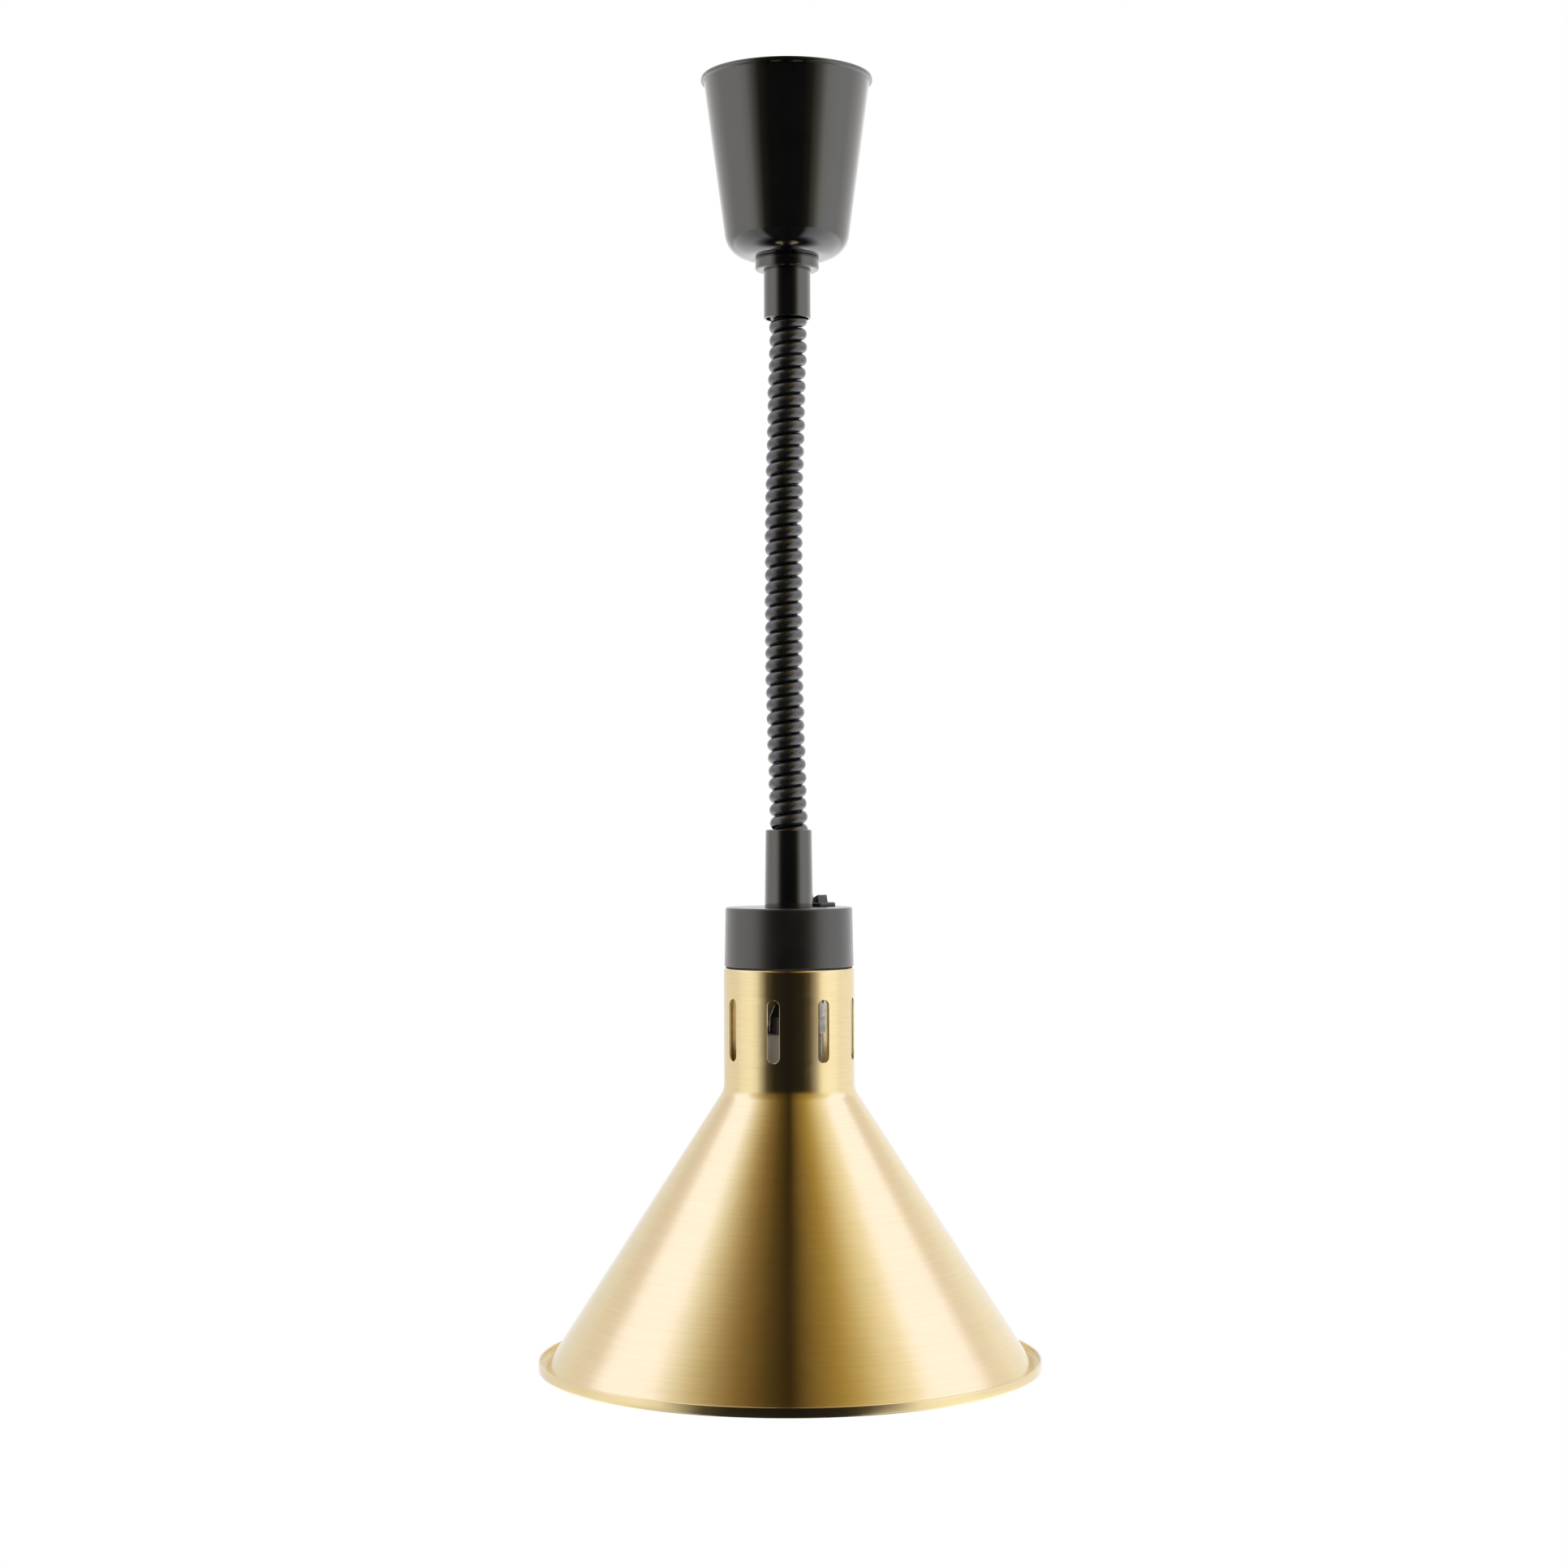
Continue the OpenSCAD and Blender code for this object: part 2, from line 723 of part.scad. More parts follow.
// Three cores rise out of the cord's end and turn forwards into the terminals
module terminal_leads() {
    color("saddlebrown") for (i = [-1:1])
        let (root_y = -cord_off + (abs(i) - 0.5) * core_off)
            lead(smooth([
                [i * core_off, root_y, z_tail_top + seat_gap],
                [i * core_off, root_y, z_tail_top + 4],
                [i * terminal_pitch * 0.7, -cord_off - 4, z_terminal - 1],
                [i * terminal_pitch, block_back + 1.5, z_terminal],
                [i * terminal_pitch, block_mid - 2, z_terminal]]));
}

// The coiled cord as one hollow tube round its turns
module coil_cord() {
    sides = 12;
    rings = len(coil_route);
    around = [for (k = [0:sides - 1]) [cos(360 * k / sides), sin(360 * k / sides), 0]];
    outer = [for (p = coil_route, a = around) p + coil_r * a];
    inner = [for (p = coil_route, a = around) p + coil_bore_d / 2 * a];
    shift = rings * sides;
    last = (rings - 1) * sides;
    ends = [for (k = [0:sides - 1]) let (m = (k + 1) % sides) each [
        [k, m, shift + m, shift + k],
        [last + m, last + k, shift + last + k, shift + last + m]]];
    faces = concat(
        [for (i = [0:rings - 2]) each [for (f = band(i, sides)) flip(f)]],
        [for (i = [0:rings - 2]) each [for (f = band(i, sides)) [for (v = f) v + shift]]],
        ends);
    color([0.08, 0.08, 0.08]) polyhedron(concat(outer, inner), [for (f = faces) flip(f)], convexity = 8);
}

// ---------- Cup and lock ring ----------

module ceiling_cup() {
    cz = z_foot + cup_fillet;
    cx = cup_r(cz - cup_fillet * sin(cup_taper)) - cup_fillet * cos(cup_taper);
    bead_r = cup_r(0) + bead_out;
    bead_round = 0.6;
    color([0.07, 0.07, 0.07]) rotate_extrude($fn = 96) polygon(concat(
        [[cup_r(0) - cup_wall, 0]],
        arc([bead_r - bead_round, -bead_round], bead_round, 90, 0, 4),
        arc([bead_r - bead_round, bead_round - bead_h], bead_round, 0, -90, 4),
        [[cup_r(-bead_h), -bead_h]],
        arc([cx, cz], cup_fillet, -cup_taper, -90),
        [[cup_hole_r, z_foot], [cup_hole_r, z_foot + cup_wall]],
        arc([cx, cz], cup_fillet - cup_wall, -90, -cup_taper)));
}

module lock_ring() {
    spigot_top = z_foot + cup_wall;
    color([0.07, 0.07, 0.07]) difference() {
        rotate_extrude() polygon(concat(
            [[ring_bore_r, spigot_top], [ring_spigot_r, spigot_top], [ring_spigot_r, z_foot],
             [ring_r - ring_edge, z_foot], [ring_r, z_foot - ring_edge]],
            arc([ring_r - ring_round, z_ring + ring_round], ring_round, 0, -90, 5),
            [[ring_bore_r, z_ring]]));
        lock_screw_place() bar(lock_screw_d / 2, ring_r + overcut, 0);
    }
}

module lock_screw_place() {
    translate([0, 0, (z_foot + z_ring) / 2]) rotate([-90, 0, 0]) children();
}

module lock_screw() {
    socket_d = lock_screw_d / 2;
    color("dimgray") lock_screw_place() difference() {
        bar(lock_screw_d / 2, ring_r - 0.3, ring_bore_r + 0.1);
        hexagon(socket_d, ring_r, ring_r - 2.2);
    }
}

// ---------- Sleeve, cap and nipple ----------

module lower_sleeve() {
    color([0.07, 0.07, 0.07]) rotate_extrude() polygon(concat(
        [[sleeve_bore_r, z_sleeve - sleeve_edge], [sleeve_bore_r + sleeve_edge, z_sleeve]],
        arc([sleeve_top_r - sleeve_round, z_sleeve - sleeve_round], sleeve_round, 90, 0, 5),
        [[sleeve_foot_r, z_cap], [nipple_r, z_cap], [nipple_r, z_cap + sleeve_floor],
         [sleeve_bore_r, z_cap + sleeve_floor]]));
}

module lower_cord_grip() {
    color("ivory") cord_grip(low_grip_r, z_low_grip, z_bridge);
}

module lower_cord_tail() {
    color([0.08, 0.08, 0.08]) translate([0, -cord_off, 0])
        bar(cord_r, coil_route[len(coil_route) - 1].z - seat_gap, z_bridge + 1.5);
}

module wire_bridge() {
    color("silver") difference() {
        bar(low_grip_r, z_bridge, z_nipple);
        bar(wire_hole_r, z_bridge + overcut, z_nipple - overcut);
        translate([0, -cord_off, 0]) bar(bridge_hole_r, z_bridge + overcut, z_nipple - overcut);
    }
}

module wire_ferrule() {
    color("gold") bar(ferrule_r, z_nipple, z_nipple - ferrule_l);
}

module hollow_nipple() {
    color("silver") difference() {
        tube(nipple_r, nipple_bore_r, z_nipple, z_nipple_end);
        translate([0, 0, z_cap - window_drop]) rotate([0, 90, switch_bearing])
            cylinder(r = window_r, h = nipple_r + overcut);
    }
}

module nipple_nut() {
    color("dimgray") difference() {
        hexagon(nut_af, z_nut, z_nut - nut_h);
        bar(nipple_r, z_nut + overcut, z_nut - nut_h - overcut);
    }
}

module lamp_cap() {
    top_r = cap_top_d / 2;
    foot_r = cap_foot_d / 2;
    color([0.13, 0.13, 0.13]) difference() {
        rotate_extrude($fn = 96) polygon(concat(
            [[cap_hole_r, z_cap]],
            arc([top_r - cap_round, z_cap - cap_round], cap_round, 90, 0, 5),
            [[foot_r, z_cap_foot], [foot_r - cap_wall, z_cap_foot],
             [top_r - cap_wall, z_cap - cap_plate], [cap_hole_r, z_cap - cap_plate]]));
        at_switch() translate([-housing_l / 2, -housing_w / 2, -cap_plate - overcut])
            cube([housing_l, housing_w, cap_plate + 2 * overcut]);
    }
}

module fibre_gasket() {
    gasket_r = cap_foot_d / 2 - gasket_in;
    color("dimgray") tube(gasket_r, gasket_r - gasket_w, z_cap_foot, z_neck);
}

// ---------- Shade ----------

// Outer and inner side of the soft bend share one centre
module shade_profile() {
    bend_c = [neck_r + bend_r, z_bend + bend_len];
    lip_round = lip_t / 2;
    rim_in = gutter_r - wall_across - floor_drop * tan(cone_angle);
    polygon(concat(
        [[cap_hole_r, z_neck]],
        arc([neck_r - neck_round, z_neck - neck_round], neck_round, 90, 0, 6),
        arc(bend_c, bend_r, 180, 180 + cone_angle),
        [[gutter_r, z_gutter], [rim_r - lip_t, z_gutter]],
        arc([rim_r - lip_round, z_lip - lip_round], lip_round, 180, 0, 6),
        arc([rim_r - lip_t, z_rim + lip_t], lip_t, 0, -90, 5),
        [[rim_in + 1, z_rim]],
        arc(bend_c, bend_r + shade_wall, 180 + cone_angle, 180),
        [[neck_r - shade_wall, z_bracket], [cap_hole_r, z_bracket]]));
}

module slot_cutter() {
    reach = neck_r + overcut;
    translate([0, 0, z_neck - slot_top - slot_l / 2]) rotate([90, 0, 0]) {
        for (end = [-1, 1]) translate([0, end * (slot_l - slot_w) / 2, 0])
            cylinder(d = slot_w, h = reach);
        translate([-slot_w / 2, -(slot_l - slot_w) / 2, 0])
            cube([slot_w, slot_l - slot_w, reach]);
    }
}

module shade() {
    color([0.83, 0.68, 0.38]) difference() {
        rotate_extrude($fn = 128) shade_profile();
        for (i = [0:slot_count - 1]) rotate(slot_turn + i * 360 / slot_count) slot_cutter();
    }
}

// ---------- Lampholder ----------

module at_bracket() {
    rotate(bracket_turn) children();
}

module holder_bracket() {
    leg_h = z_bracket - z_holder;
    color("gainsboro") difference() {
        union() {
            bar(bracket_hub_r, z_bracket, z_nut);
            at_bracket() {
                translate([-bracket_w / 2, -leg_out, z_nut])
                    cube([bracket_w, 2 * leg_out, bracket_t]);
                for (side = [0, 1]) mirror([0, side, 0]) {
                    translate([-bracket_w / 2, -leg_out, z_holder])
                        cube([bracket_w, bracket_t, leg_h]);
                    translate([-bracket_w / 2, -leg_out, z_holder])
                        cube([bracket_w, leg_out - foot_in, bracket_t]);
                }
            }
        }
        bar(cap_hole_r, z_bracket + overcut, z_nut - overcut);
        at_bracket() for (side = [-1, 1]) {
            translate([0, side * foot_screw_r, 0])
                bar(m4_r, z_holder + bracket_t + overcut, z_holder - overcut);
            translate([0, side * (leg_out + overcut), z_holder + leg_hole_up])
                rotate([side * 90, 0, 0]) cylinder(r = leg_hole_r, h = bracket_t + 2 * overcut);
        }
    }
}

module bracket_screws() {
    color("silver") at_bracket() for (side = [-1, 1]) translate([0, side * foot_screw_r, 0]) {
        bar(m4_r, z_holder + bracket_t, z_holder - holder_floor + foot_screw_floor);
        bar(screw_head_r, z_holder + bracket_t + screw_head_h, z_holder + bracket_t);
    }
}

module terminal_cover() {
    z_top = z_holder + cover_h;
    color([0.1, 0.1, 0.1]) rotate_extrude() polygon([
        [cover_mouth_r, z_top], [cover_top_r, z_top], [cover_r, z_top - cover_cone],
        [cover_r, z_holder], [cover_r - cover_wall, z_holder],
        [cover_r - cover_wall, z_top - cover_cone - cover_wall / 2],
        [cover_top_r - cover_wall, z_top - cover_wall], [cover_mouth_r, z_top - cover_wall]]);
}

module lampholder_body() {
    z_floor = z_holder - holder_floor;
    color("whitesmoke") difference() {
        rotate_extrude() polygon(concat(
            [[0, z_holder], [holder_r - holder_edge, z_holder]],
            arc([holder_r - holder_edge, z_holder - holder_edge], holder_edge, 90, 0, 5),
            [[holder_r, z_holder_foot], [shell_r + shell_t, z_holder_foot],
             [shell_r + shell_t, z_floor], [0, z_floor]]));
        bar(contact_stem_r, z_holder + overcut, z_floor - overcut);
        at_bracket() for (side = [-1, 1]) translate([0, side * foot_screw_r, 0])
            bar(m4_r, z_holder + overcut, z_floor + foot_screw_floor);
    }
}

module screw_shell() {
    shell_foot = z_holder_foot + 2;
    color("goldenrod") difference() {
        bar(shell_r + shell_t, z_holder - holder_floor, shell_foot);
        bar(shell_r, z_holder - holder_floor - shell_t, shell_foot - overcut);
        bar(contact_r + 2, z_holder, shell_foot);
    }
}

module centre_contact() {
    color("gold") {
        bar(contact_r, z_holder - holder_floor, z_contact);
        bar(contact_stem_r, z_holder + 1, z_holder - holder_floor);
    }
}

// The two cores run from the cord through the nipple to the lampholder
module lamp_leads() {
    color("saddlebrown") for (side = [-1, 1])
        lead(smooth([
            [side * lead_off, -cord_off, z_bridge + 1.2],
            [side * lead_off, -cord_off, z_nipple - 6],
            [side * lead_off, -cord_off + 0.6, z_cap - 10],
            [side * lead_off, -cord_off + 1, z_nipple_end],
            [side * 2.4, -2.4, z_holder + cover_h],
            [side * 5, -1, z_holder + 5],
            [side * 6, 0, z_holder + 0.6]]));
}

// ---------- Switch ----------

module switch_body() {
    color([0.1, 0.1, 0.1]) at_switch() difference() {
        union() {
            translate([-bezel_l / 2, -bezel_w / 2, 0]) cube([bezel_l, bezel_w, bezel_h]);
            translate([-housing_l / 2, -housing_w / 2, -housing_drop])
                cube([housing_l, housing_w, housing_drop]);
        }
        translate([-pocket_l / 2, -pocket_w / 2, -pocket_drop])
            cube([pocket_l, pocket_w, pocket_drop + bezel_h + overcut]);
        switch_pin_bar(pin_r, pin_half);
    }
}

// A bar across the switch on the rocker's pivot
module switch_pin_bar(r, half) {
    translate([0, half, pivot_v]) rotate([90, 0, 0]) cylinder(r = r, h = 2 * half, $fn = 32);
}

module rocker_pin() {
    color("silver") at_switch() switch_pin_bar(pin_r, pin_half - 0.1);
}

module switch_terminals() {
    color("gold") at_switch() for (u = [-spade_u, spade_u])
        translate([u - spade_t / 2, -spade_w / 2, -housing_drop - spade_l])
            cube([spade_t, spade_w, spade_l]);
}

module switch_rocker() {
    half = rocker_l / 2;
    dish = rocker_end_v - rocker_mid_v;
    dish_r = (half * half + dish * dish) / (2 * dish);
    swing = asin(half / dish_r);
    color([0.2, 0.2, 0.2]) at_switch() translate([0, 0, pivot_v]) rotate([0, -rocker_tilt, 0])
        translate([0, 0, -pivot_v]) difference() {
            translate([0, rocker_w / 2, 0]) rotate([90, 0, 0]) linear_extrude(rocker_w) polygon(concat(
                arc([0, rocker_mid_v + dish_r], dish_r, -90 - swing, -90 + swing, 12),
                [[half, 0], [half - rocker_taper, rocker_low_v],
                 [rocker_taper - half, rocker_low_v], [-half, 0]]));
            switch_pin_bar(pin_r + run_gap, rocker_w);
        }
}

module switch_leads() {
    color("saddlebrown") for (side = [-1, 1]) {
        u = side * spade_u;
        across = -side * core_across;
        spade = [switch_x + u * cos(switch_turn), switch_y + u * sin(switch_turn),
                 z_cap - housing_drop - spade_l - lead_r];
        lead(smooth([
            towards_switch(nipple_r - 6.5, across, z_cap - window_drop + 0.4),
            towards_switch(nipple_r - 1, across, z_cap - window_drop),
            towards_switch(nipple_r + 3.2, across * 1.3, z_cap - window_drop - 5),
            towards_switch(nipple_r + 6, across * 2, z_cap - window_drop - 11.6),
            spade], 6));
    }
}

// ---------- Bulb ----------

module bulb_contact() {
    color("silver") bar(contact_r, z_contact, z_contact - cap_tip);
}

module bulb_insulator() {
    color([0.08, 0.08, 0.1]) translate([0, 0, z_bulb_cap])
        cylinder(r1 = bulb_cap_r - 1.5, r2 = contact_r + 1.5, h = insulator_h);
}

module bulb_cap() {
    first = z_bulb_cap - 3;
    color("silver") difference() {
        union() {
            bar(bulb_cap_r - thread_r / 2, z_bulb_cap, z_glass);
            for (i = [0:thread_turns - 1]) translate([0, 0, first - i * thread_pitch])
                rotate_extrude() translate([bulb_cap_r - thread_r, 0]) circle(r = thread_r, $fn = 24);
        }
        bar(bulb_cap_r - thread_r - bulb_cap_t, z_bulb_cap - 1, z_glass - overcut);
    }
}

// One side of the bulb's glass: in is 0 for the outside and glass_t for the inside
function glass_side(in) = concat(
    [[glass_seat_r - in, z_glass + glass_tuck], [glass_seat_r - in, z_glass - 0.5]],
    curve([glass_seat_r - in + 0.6, z_glass - 2], [bulb_neck_r - in, z_glass - 6],
          [bulb_neck_r - in, z_glass - 8], [bulb_neck_r - in, z_glass_neck], 6),
    curve([bulb_neck_r - in, z_glass_neck - neck_run], [bulb_neck_r - in, z_glass_neck - 40],
          [bulb_r - in, z_face + face_drop + 32], [bulb_r - in, z_face + face_drop]),
    curve([bulb_r - in, z_face + face_drop - 3], [bulb_r - in, z_face + face_crown + 2],
          [bulb_r - 14 - in / 2, z_face + 1 + in], [0, z_face + in], 12));

module bulb_glass() {
    color([0.85, 0.87, 0.9]) rotate_extrude($fn = 96)
        polygon(concat(glass_side(0), flip(glass_side(glass_t))));
}

module bulb_stem() {
    base_r = bulb_neck_r - glass_t - seat_gap;
    color([0.8, 0.85, 0.85]) rotate_extrude() polygon([
        [0, z_glass_neck], [base_r, z_glass_neck], [base_r, z_glass_neck - stem_collar],
        [stem_r * 1.5, z_glass_neck - 10], [stem_r, z_stem_tip], [0, z_stem_tip]]);
}

// An open ring of wire on three legs that spread from the stem's tip
module bulb_filament() {
    leg_in = stem_r / 2;
    spread = filament_r - leg_in;
    color("gray") {
        translate([0, 0, z_stem_tip - filament_drop]) rotate_extrude(angle = 320)
            translate([filament_r, 0]) circle(r = filament_wire, $fn = 16);
        for (a = [20, 160, 300]) rotate(a) translate([leg_in, 0, z_stem_tip - 0.4])
            rotate([0, 180 - atan(spread / filament_drop), 0])
                cylinder(r = filament_wire * 0.8, h = norm([spread, filament_drop]) - 1, $fn = 16);
    }
}

ceiling_strap();
reel_frame();
frame_screws();
reel_axle();
axle_clips();
balance_spring();
collar_tube();
collar_nut();
upper_cord_grip();
upper_cord_tail();
terminal_block();
terminal_inserts();
terminal_screws();
terminal_leads();
coil_cord();
suspension_wire();
ceiling_cup();
lock_ring();
lock_screw();
wire_drum();
drum_cover();
drum_bushes();
wire_winding();
lower_sleeve();
lower_cord_grip();
lower_cord_tail();
wire_bridge();
wire_ferrule();
hollow_nipple();
nipple_nut();
lamp_cap();
fibre_gasket();
shade();
holder_bracket();
bracket_screws();
terminal_cover();
lampholder_body();
screw_shell();
centre_contact();
lamp_leads();
switch_leads();
switch_body();
switch_terminals();
rocker_pin();
switch_rocker();
bulb_cap();
bulb_insulator();
bulb_contact();
bulb_glass();
bulb_stem();
bulb_filament();
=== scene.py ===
"""Looks of a pendant heat lamp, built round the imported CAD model. Metres, +Z up, front towards -Y.

Outlines and small sizes are written in millimetres and scaled by MM where meshes are made.
Azimuths are in degrees from the front, positive to the right.
"""

import json
import math

import bmesh
import bpy
import numpy as np
from mathutils import Matrix, Vector


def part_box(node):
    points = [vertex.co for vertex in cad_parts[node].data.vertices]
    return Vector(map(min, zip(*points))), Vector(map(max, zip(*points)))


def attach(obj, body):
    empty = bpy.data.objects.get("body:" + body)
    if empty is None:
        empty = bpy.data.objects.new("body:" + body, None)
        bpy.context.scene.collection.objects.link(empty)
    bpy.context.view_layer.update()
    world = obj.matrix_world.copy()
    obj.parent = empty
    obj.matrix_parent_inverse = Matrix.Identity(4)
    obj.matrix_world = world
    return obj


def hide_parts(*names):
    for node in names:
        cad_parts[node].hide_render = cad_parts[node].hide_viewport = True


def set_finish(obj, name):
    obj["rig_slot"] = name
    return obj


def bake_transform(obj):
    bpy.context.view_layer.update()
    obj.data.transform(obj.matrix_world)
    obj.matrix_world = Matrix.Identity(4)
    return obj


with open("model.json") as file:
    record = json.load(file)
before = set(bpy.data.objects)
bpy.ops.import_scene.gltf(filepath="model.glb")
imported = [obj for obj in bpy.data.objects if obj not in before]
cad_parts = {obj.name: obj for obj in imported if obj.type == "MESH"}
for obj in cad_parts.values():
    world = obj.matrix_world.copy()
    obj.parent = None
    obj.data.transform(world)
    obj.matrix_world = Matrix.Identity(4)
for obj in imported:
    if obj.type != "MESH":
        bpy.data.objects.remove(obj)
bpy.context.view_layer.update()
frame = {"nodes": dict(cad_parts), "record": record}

MM = 0.001
AROUND = 256
FULL_TURN = 2 * math.pi


# ---------- Sizes from the frame, in millimetres ----------

def reach(name):
    """Outer radius, lowest and highest height of a round CAD node."""
    low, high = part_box(name)
    return high.x / MM, low.z / MM, high.z / MM


BEAD_R, Z_FOOT, _ = reach("ceiling_cup")
RING_R, Z_RING, _ = reach("lock_ring")
COLLAR_R, Z_COLLAR, Z_SPIGOT = reach("collar_tube")
SLEEVE_R, Z_CAP, Z_SLEEVE = reach("lower_sleeve")
CAP_FOOT_R, Z_CAP_FOOT, _ = reach("lamp_cap")
RIM_R, Z_RIM, Z_NECK = reach("shade")
BULB_R, Z_FACE, Z_BULB_TOP = reach("bulb_glass")
WIRE_R, Z_WIRE_FOOT, Z_WIRE = reach("suspension_wire")


# ---------- Camera ----------

def make_camera():
    """Level with the middle of the lamp, 1.54 m in front of its axis."""
    lens = bpy.data.cameras.new("camera")
    lens.lens = 65.5
    lens.sensor_width = 36
    lens.shift_y = 0.0202
    camera = bpy.data.objects.new("camera", lens)
    camera.location = (-0.0025, -1.536, -0.397)
    camera.rotation_euler = (math.pi / 2, math.radians(0.16), 0)
    bpy.context.scene.collection.objects.link(camera)
    bpy.context.scene.camera = camera


# ---------- Mesh helpers ----------

def add_mesh(name, points, faces, body=None, sharp=35):
    """A smooth-shaded object from points in millimetres, sharp only at real corners."""
    mesh = bpy.data.meshes.new(name)
    mesh.from_pydata([Vector(p) * MM for p in points], [], faces)
    piece = bpy.data.objects.new(name, mesh)
    bpy.context.scene.collection.objects.link(piece)
    clean(piece, sharp)
    if body:
        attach(piece, body)
    return piece


def clean(piece, sharp=35):
    """Merges doubled points, turns every face outwards and shades the mesh smooth."""
    work = bmesh.new()
    work.from_mesh(piece.data)
    bmesh.ops.remove_doubles(work, verts=work.verts, dist=2e-6)
    bmesh.ops.recalc_face_normals(work, faces=work.faces)
    work.to_mesh(piece.data)
    work.free()
    piece.data.polygons.foreach_set("use_smooth", [True] * len(piece.data.polygons))
    piece.data.set_sharp_from_angle(angle=math.radians(sharp))


def apply_modifiers(piece):
    """Bakes a piece's modifiers into its mesh."""
    graph = bpy.context.evaluated_depsgraph_get()
    baked = bpy.data.meshes.new_from_object(piece.evaluated_get(graph))
    piece.modifiers.clear()
    piece.data = baked


def rounded(corners, steps=6):
    """Outline through corners (radius, height, rounding), with an arc at each rounded corner."""
    outline = []
    count = len(corners)
    for i, (r, z, rounding) in enumerate(corners):
        here = Vector((r, z))
        if rounding <= 0:
            outline.append((r, z))
            continue
        before = (Vector(corners[i - 1][:2]) - here).normalized()
        after = (Vector(corners[(i + 1) % count][:2]) - here).normalized()
        half = before.angle(after) / 2
        start = here + before * rounding / math.tan(half)
        end = here + after * rounding / math.tan(half)
        centre = here + (before + after).normalized() * rounding / math.sin(half)
        first = math.atan2(start.y - centre.y, start.x - centre.x)
        sweep = math.atan2(end.y - centre.y, end.x - centre.x) - first
        sweep = (sweep + math.pi) % FULL_TURN - math.pi
        outline += [(centre.x + rounding * math.cos(first + sweep * k / steps),
                     centre.y + rounding * math.sin(first + sweep * k / steps))
                    for k in range(steps + 1)]
    return outline


def arc(cx, cz, r, start, end, steps=12):
    """Points on an arc round (cx, cz), angles in degrees."""
    angles = np.radians(np.linspace(start, end, steps + 1))
    return [(cx + r * math.cos(a), cz + r * math.sin(a)) for a in angles]


def line(start, end, steps):
    """Points between two ends, both left out."""
    return [tuple(Vector(start).lerp(Vector(end), k / steps)) for k in range(1, steps)]


def at(azimuth, r, z):
    """The point at a radius and height on an azimuth in degrees."""
    a = math.radians(azimuth)
    return (r * math.sin(a), -r * math.cos(a), z)


def spin(outline, turn=0.0, closed=True, around=AROUND):
    """Points and faces of an outline of (radius, height) spun round the lamp's axis."""
    azimuths = turn + 360 * np.arange(around) / around
    points = [at(a, r, z) for r, z in outline for a in azimuths]
    faces = []
    count = len(outline)
    for i in range(count if closed else count - 1):
        j = (i + 1) % count
        for k in range(around):
            m = (k + 1) % around
            faces.append((i * around + k, i * around + m, j * around + m, j * around + k))
    return points, faces


def lathe(name, outline, body):
    """A piece turned from a closed outline of (radius, height)."""
    points, faces = spin(outline)
    return add_mesh(name, points, faces, body)


def loft(loops):
    """Points and faces of a skin over closed loops of equal size, closed at both ends."""
    size = len(loops[0])
    points = [p for loop in loops for p in loop]
    faces = [tuple(range(size)), tuple(range(len(points) - size, len(points)))]
    for i in range(len(loops) - 1):
        for k in range(size):
            m = (k + 1) % size
            faces.append((i * size + k, i * size + m, (i + 1) * size + m, (i + 1) * size + k))
    return points, faces


# ---------- Coiled cord and suspension wire ----------

# The middle of the hanging coil, a slight bow given as points: (x, z)
COIL_ROUTE = [
    (0.4, -122), (0.5, -130), (0.4, -145), (-0.2, -160), (-0.7, -180),
    (-1.2, -200), (-1.9, -220), (-2.2, -245), (-2.3, -275), (-2.3, -305),
    (-2, -330), (-1.4, -350), (-0.8, -370), (-0.3, -390), (0.3, -404),
    (0.4, -412)]
CORD_R = 3.5
TURN_R = 6.75
TURN_PITCH = 7.02
TURNS = 40.3
RINGS_A_TURN = 36
CORD_SIDES = 16
WIRE_SIDES = 12
WIRE_RINGS = 160


def tube(path, r, sides):
    """Loops of points round a path, square to it."""
    path = np.array(path, float)
    ahead = np.gradient(path, axis=0)
    ahead /= np.linalg.norm(ahead, axis=1)[:, None]
    loops = []
    across = np.array([0.0, 0.0, 1.0]) if abs(ahead[0][2]) < 0.9 else np.array([1.0, 0.0, 0.0])
    for point, way in zip(path, ahead):
        across = across - way * np.dot(across, way)
        across /= np.linalg.norm(across)
        other = np.cross(way, across)
        turns = FULL_TURN * np.arange(sides) / sides
        loops.append([tuple(point + r * (math.cos(a) * across + math.sin(a) * other)) for a in turns])
    return loops


def stretch_between(piece):
    """Bakes a swept piece's placing into its mesh."""
    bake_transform(piece)


def make_coil_cord():
    """The curly mains cord: a right-handed helix from inside the collar into the sleeve."""
    z_first = COIL_ROUTE[0][1] - CORD_R
    heights = [z for _, z in reversed(COIL_ROUTE)]
    shifts = [x for x, _ in reversed(COIL_ROUTE)]
    path = []
    for i in range(round(TURNS * RINGS_A_TURN) + 1):
        turn = i / RINGS_A_TURN
        z = z_first - TURN_PITCH * turn
        # Turns of a worn cord are a little uneven
        r = TURN_R + 0.1 * math.sin(2.3 * turn) + 0.07 * math.sin(5.1 * turn + 1)
        x, y, z = at(-360 * turn, r, z + 0.12 * math.sin(1.7 * turn + 0.5))
        path.append((x + float(np.interp(z, heights, shifts)), y, z))
    points, faces = loft(tube(path, CORD_R, CORD_SIDES))
    cord = add_mesh("coiled_cord", points, faces)
    stretch_between(cord)
    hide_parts("coil_cord")
    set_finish(cord, "cord_black")
    return cord


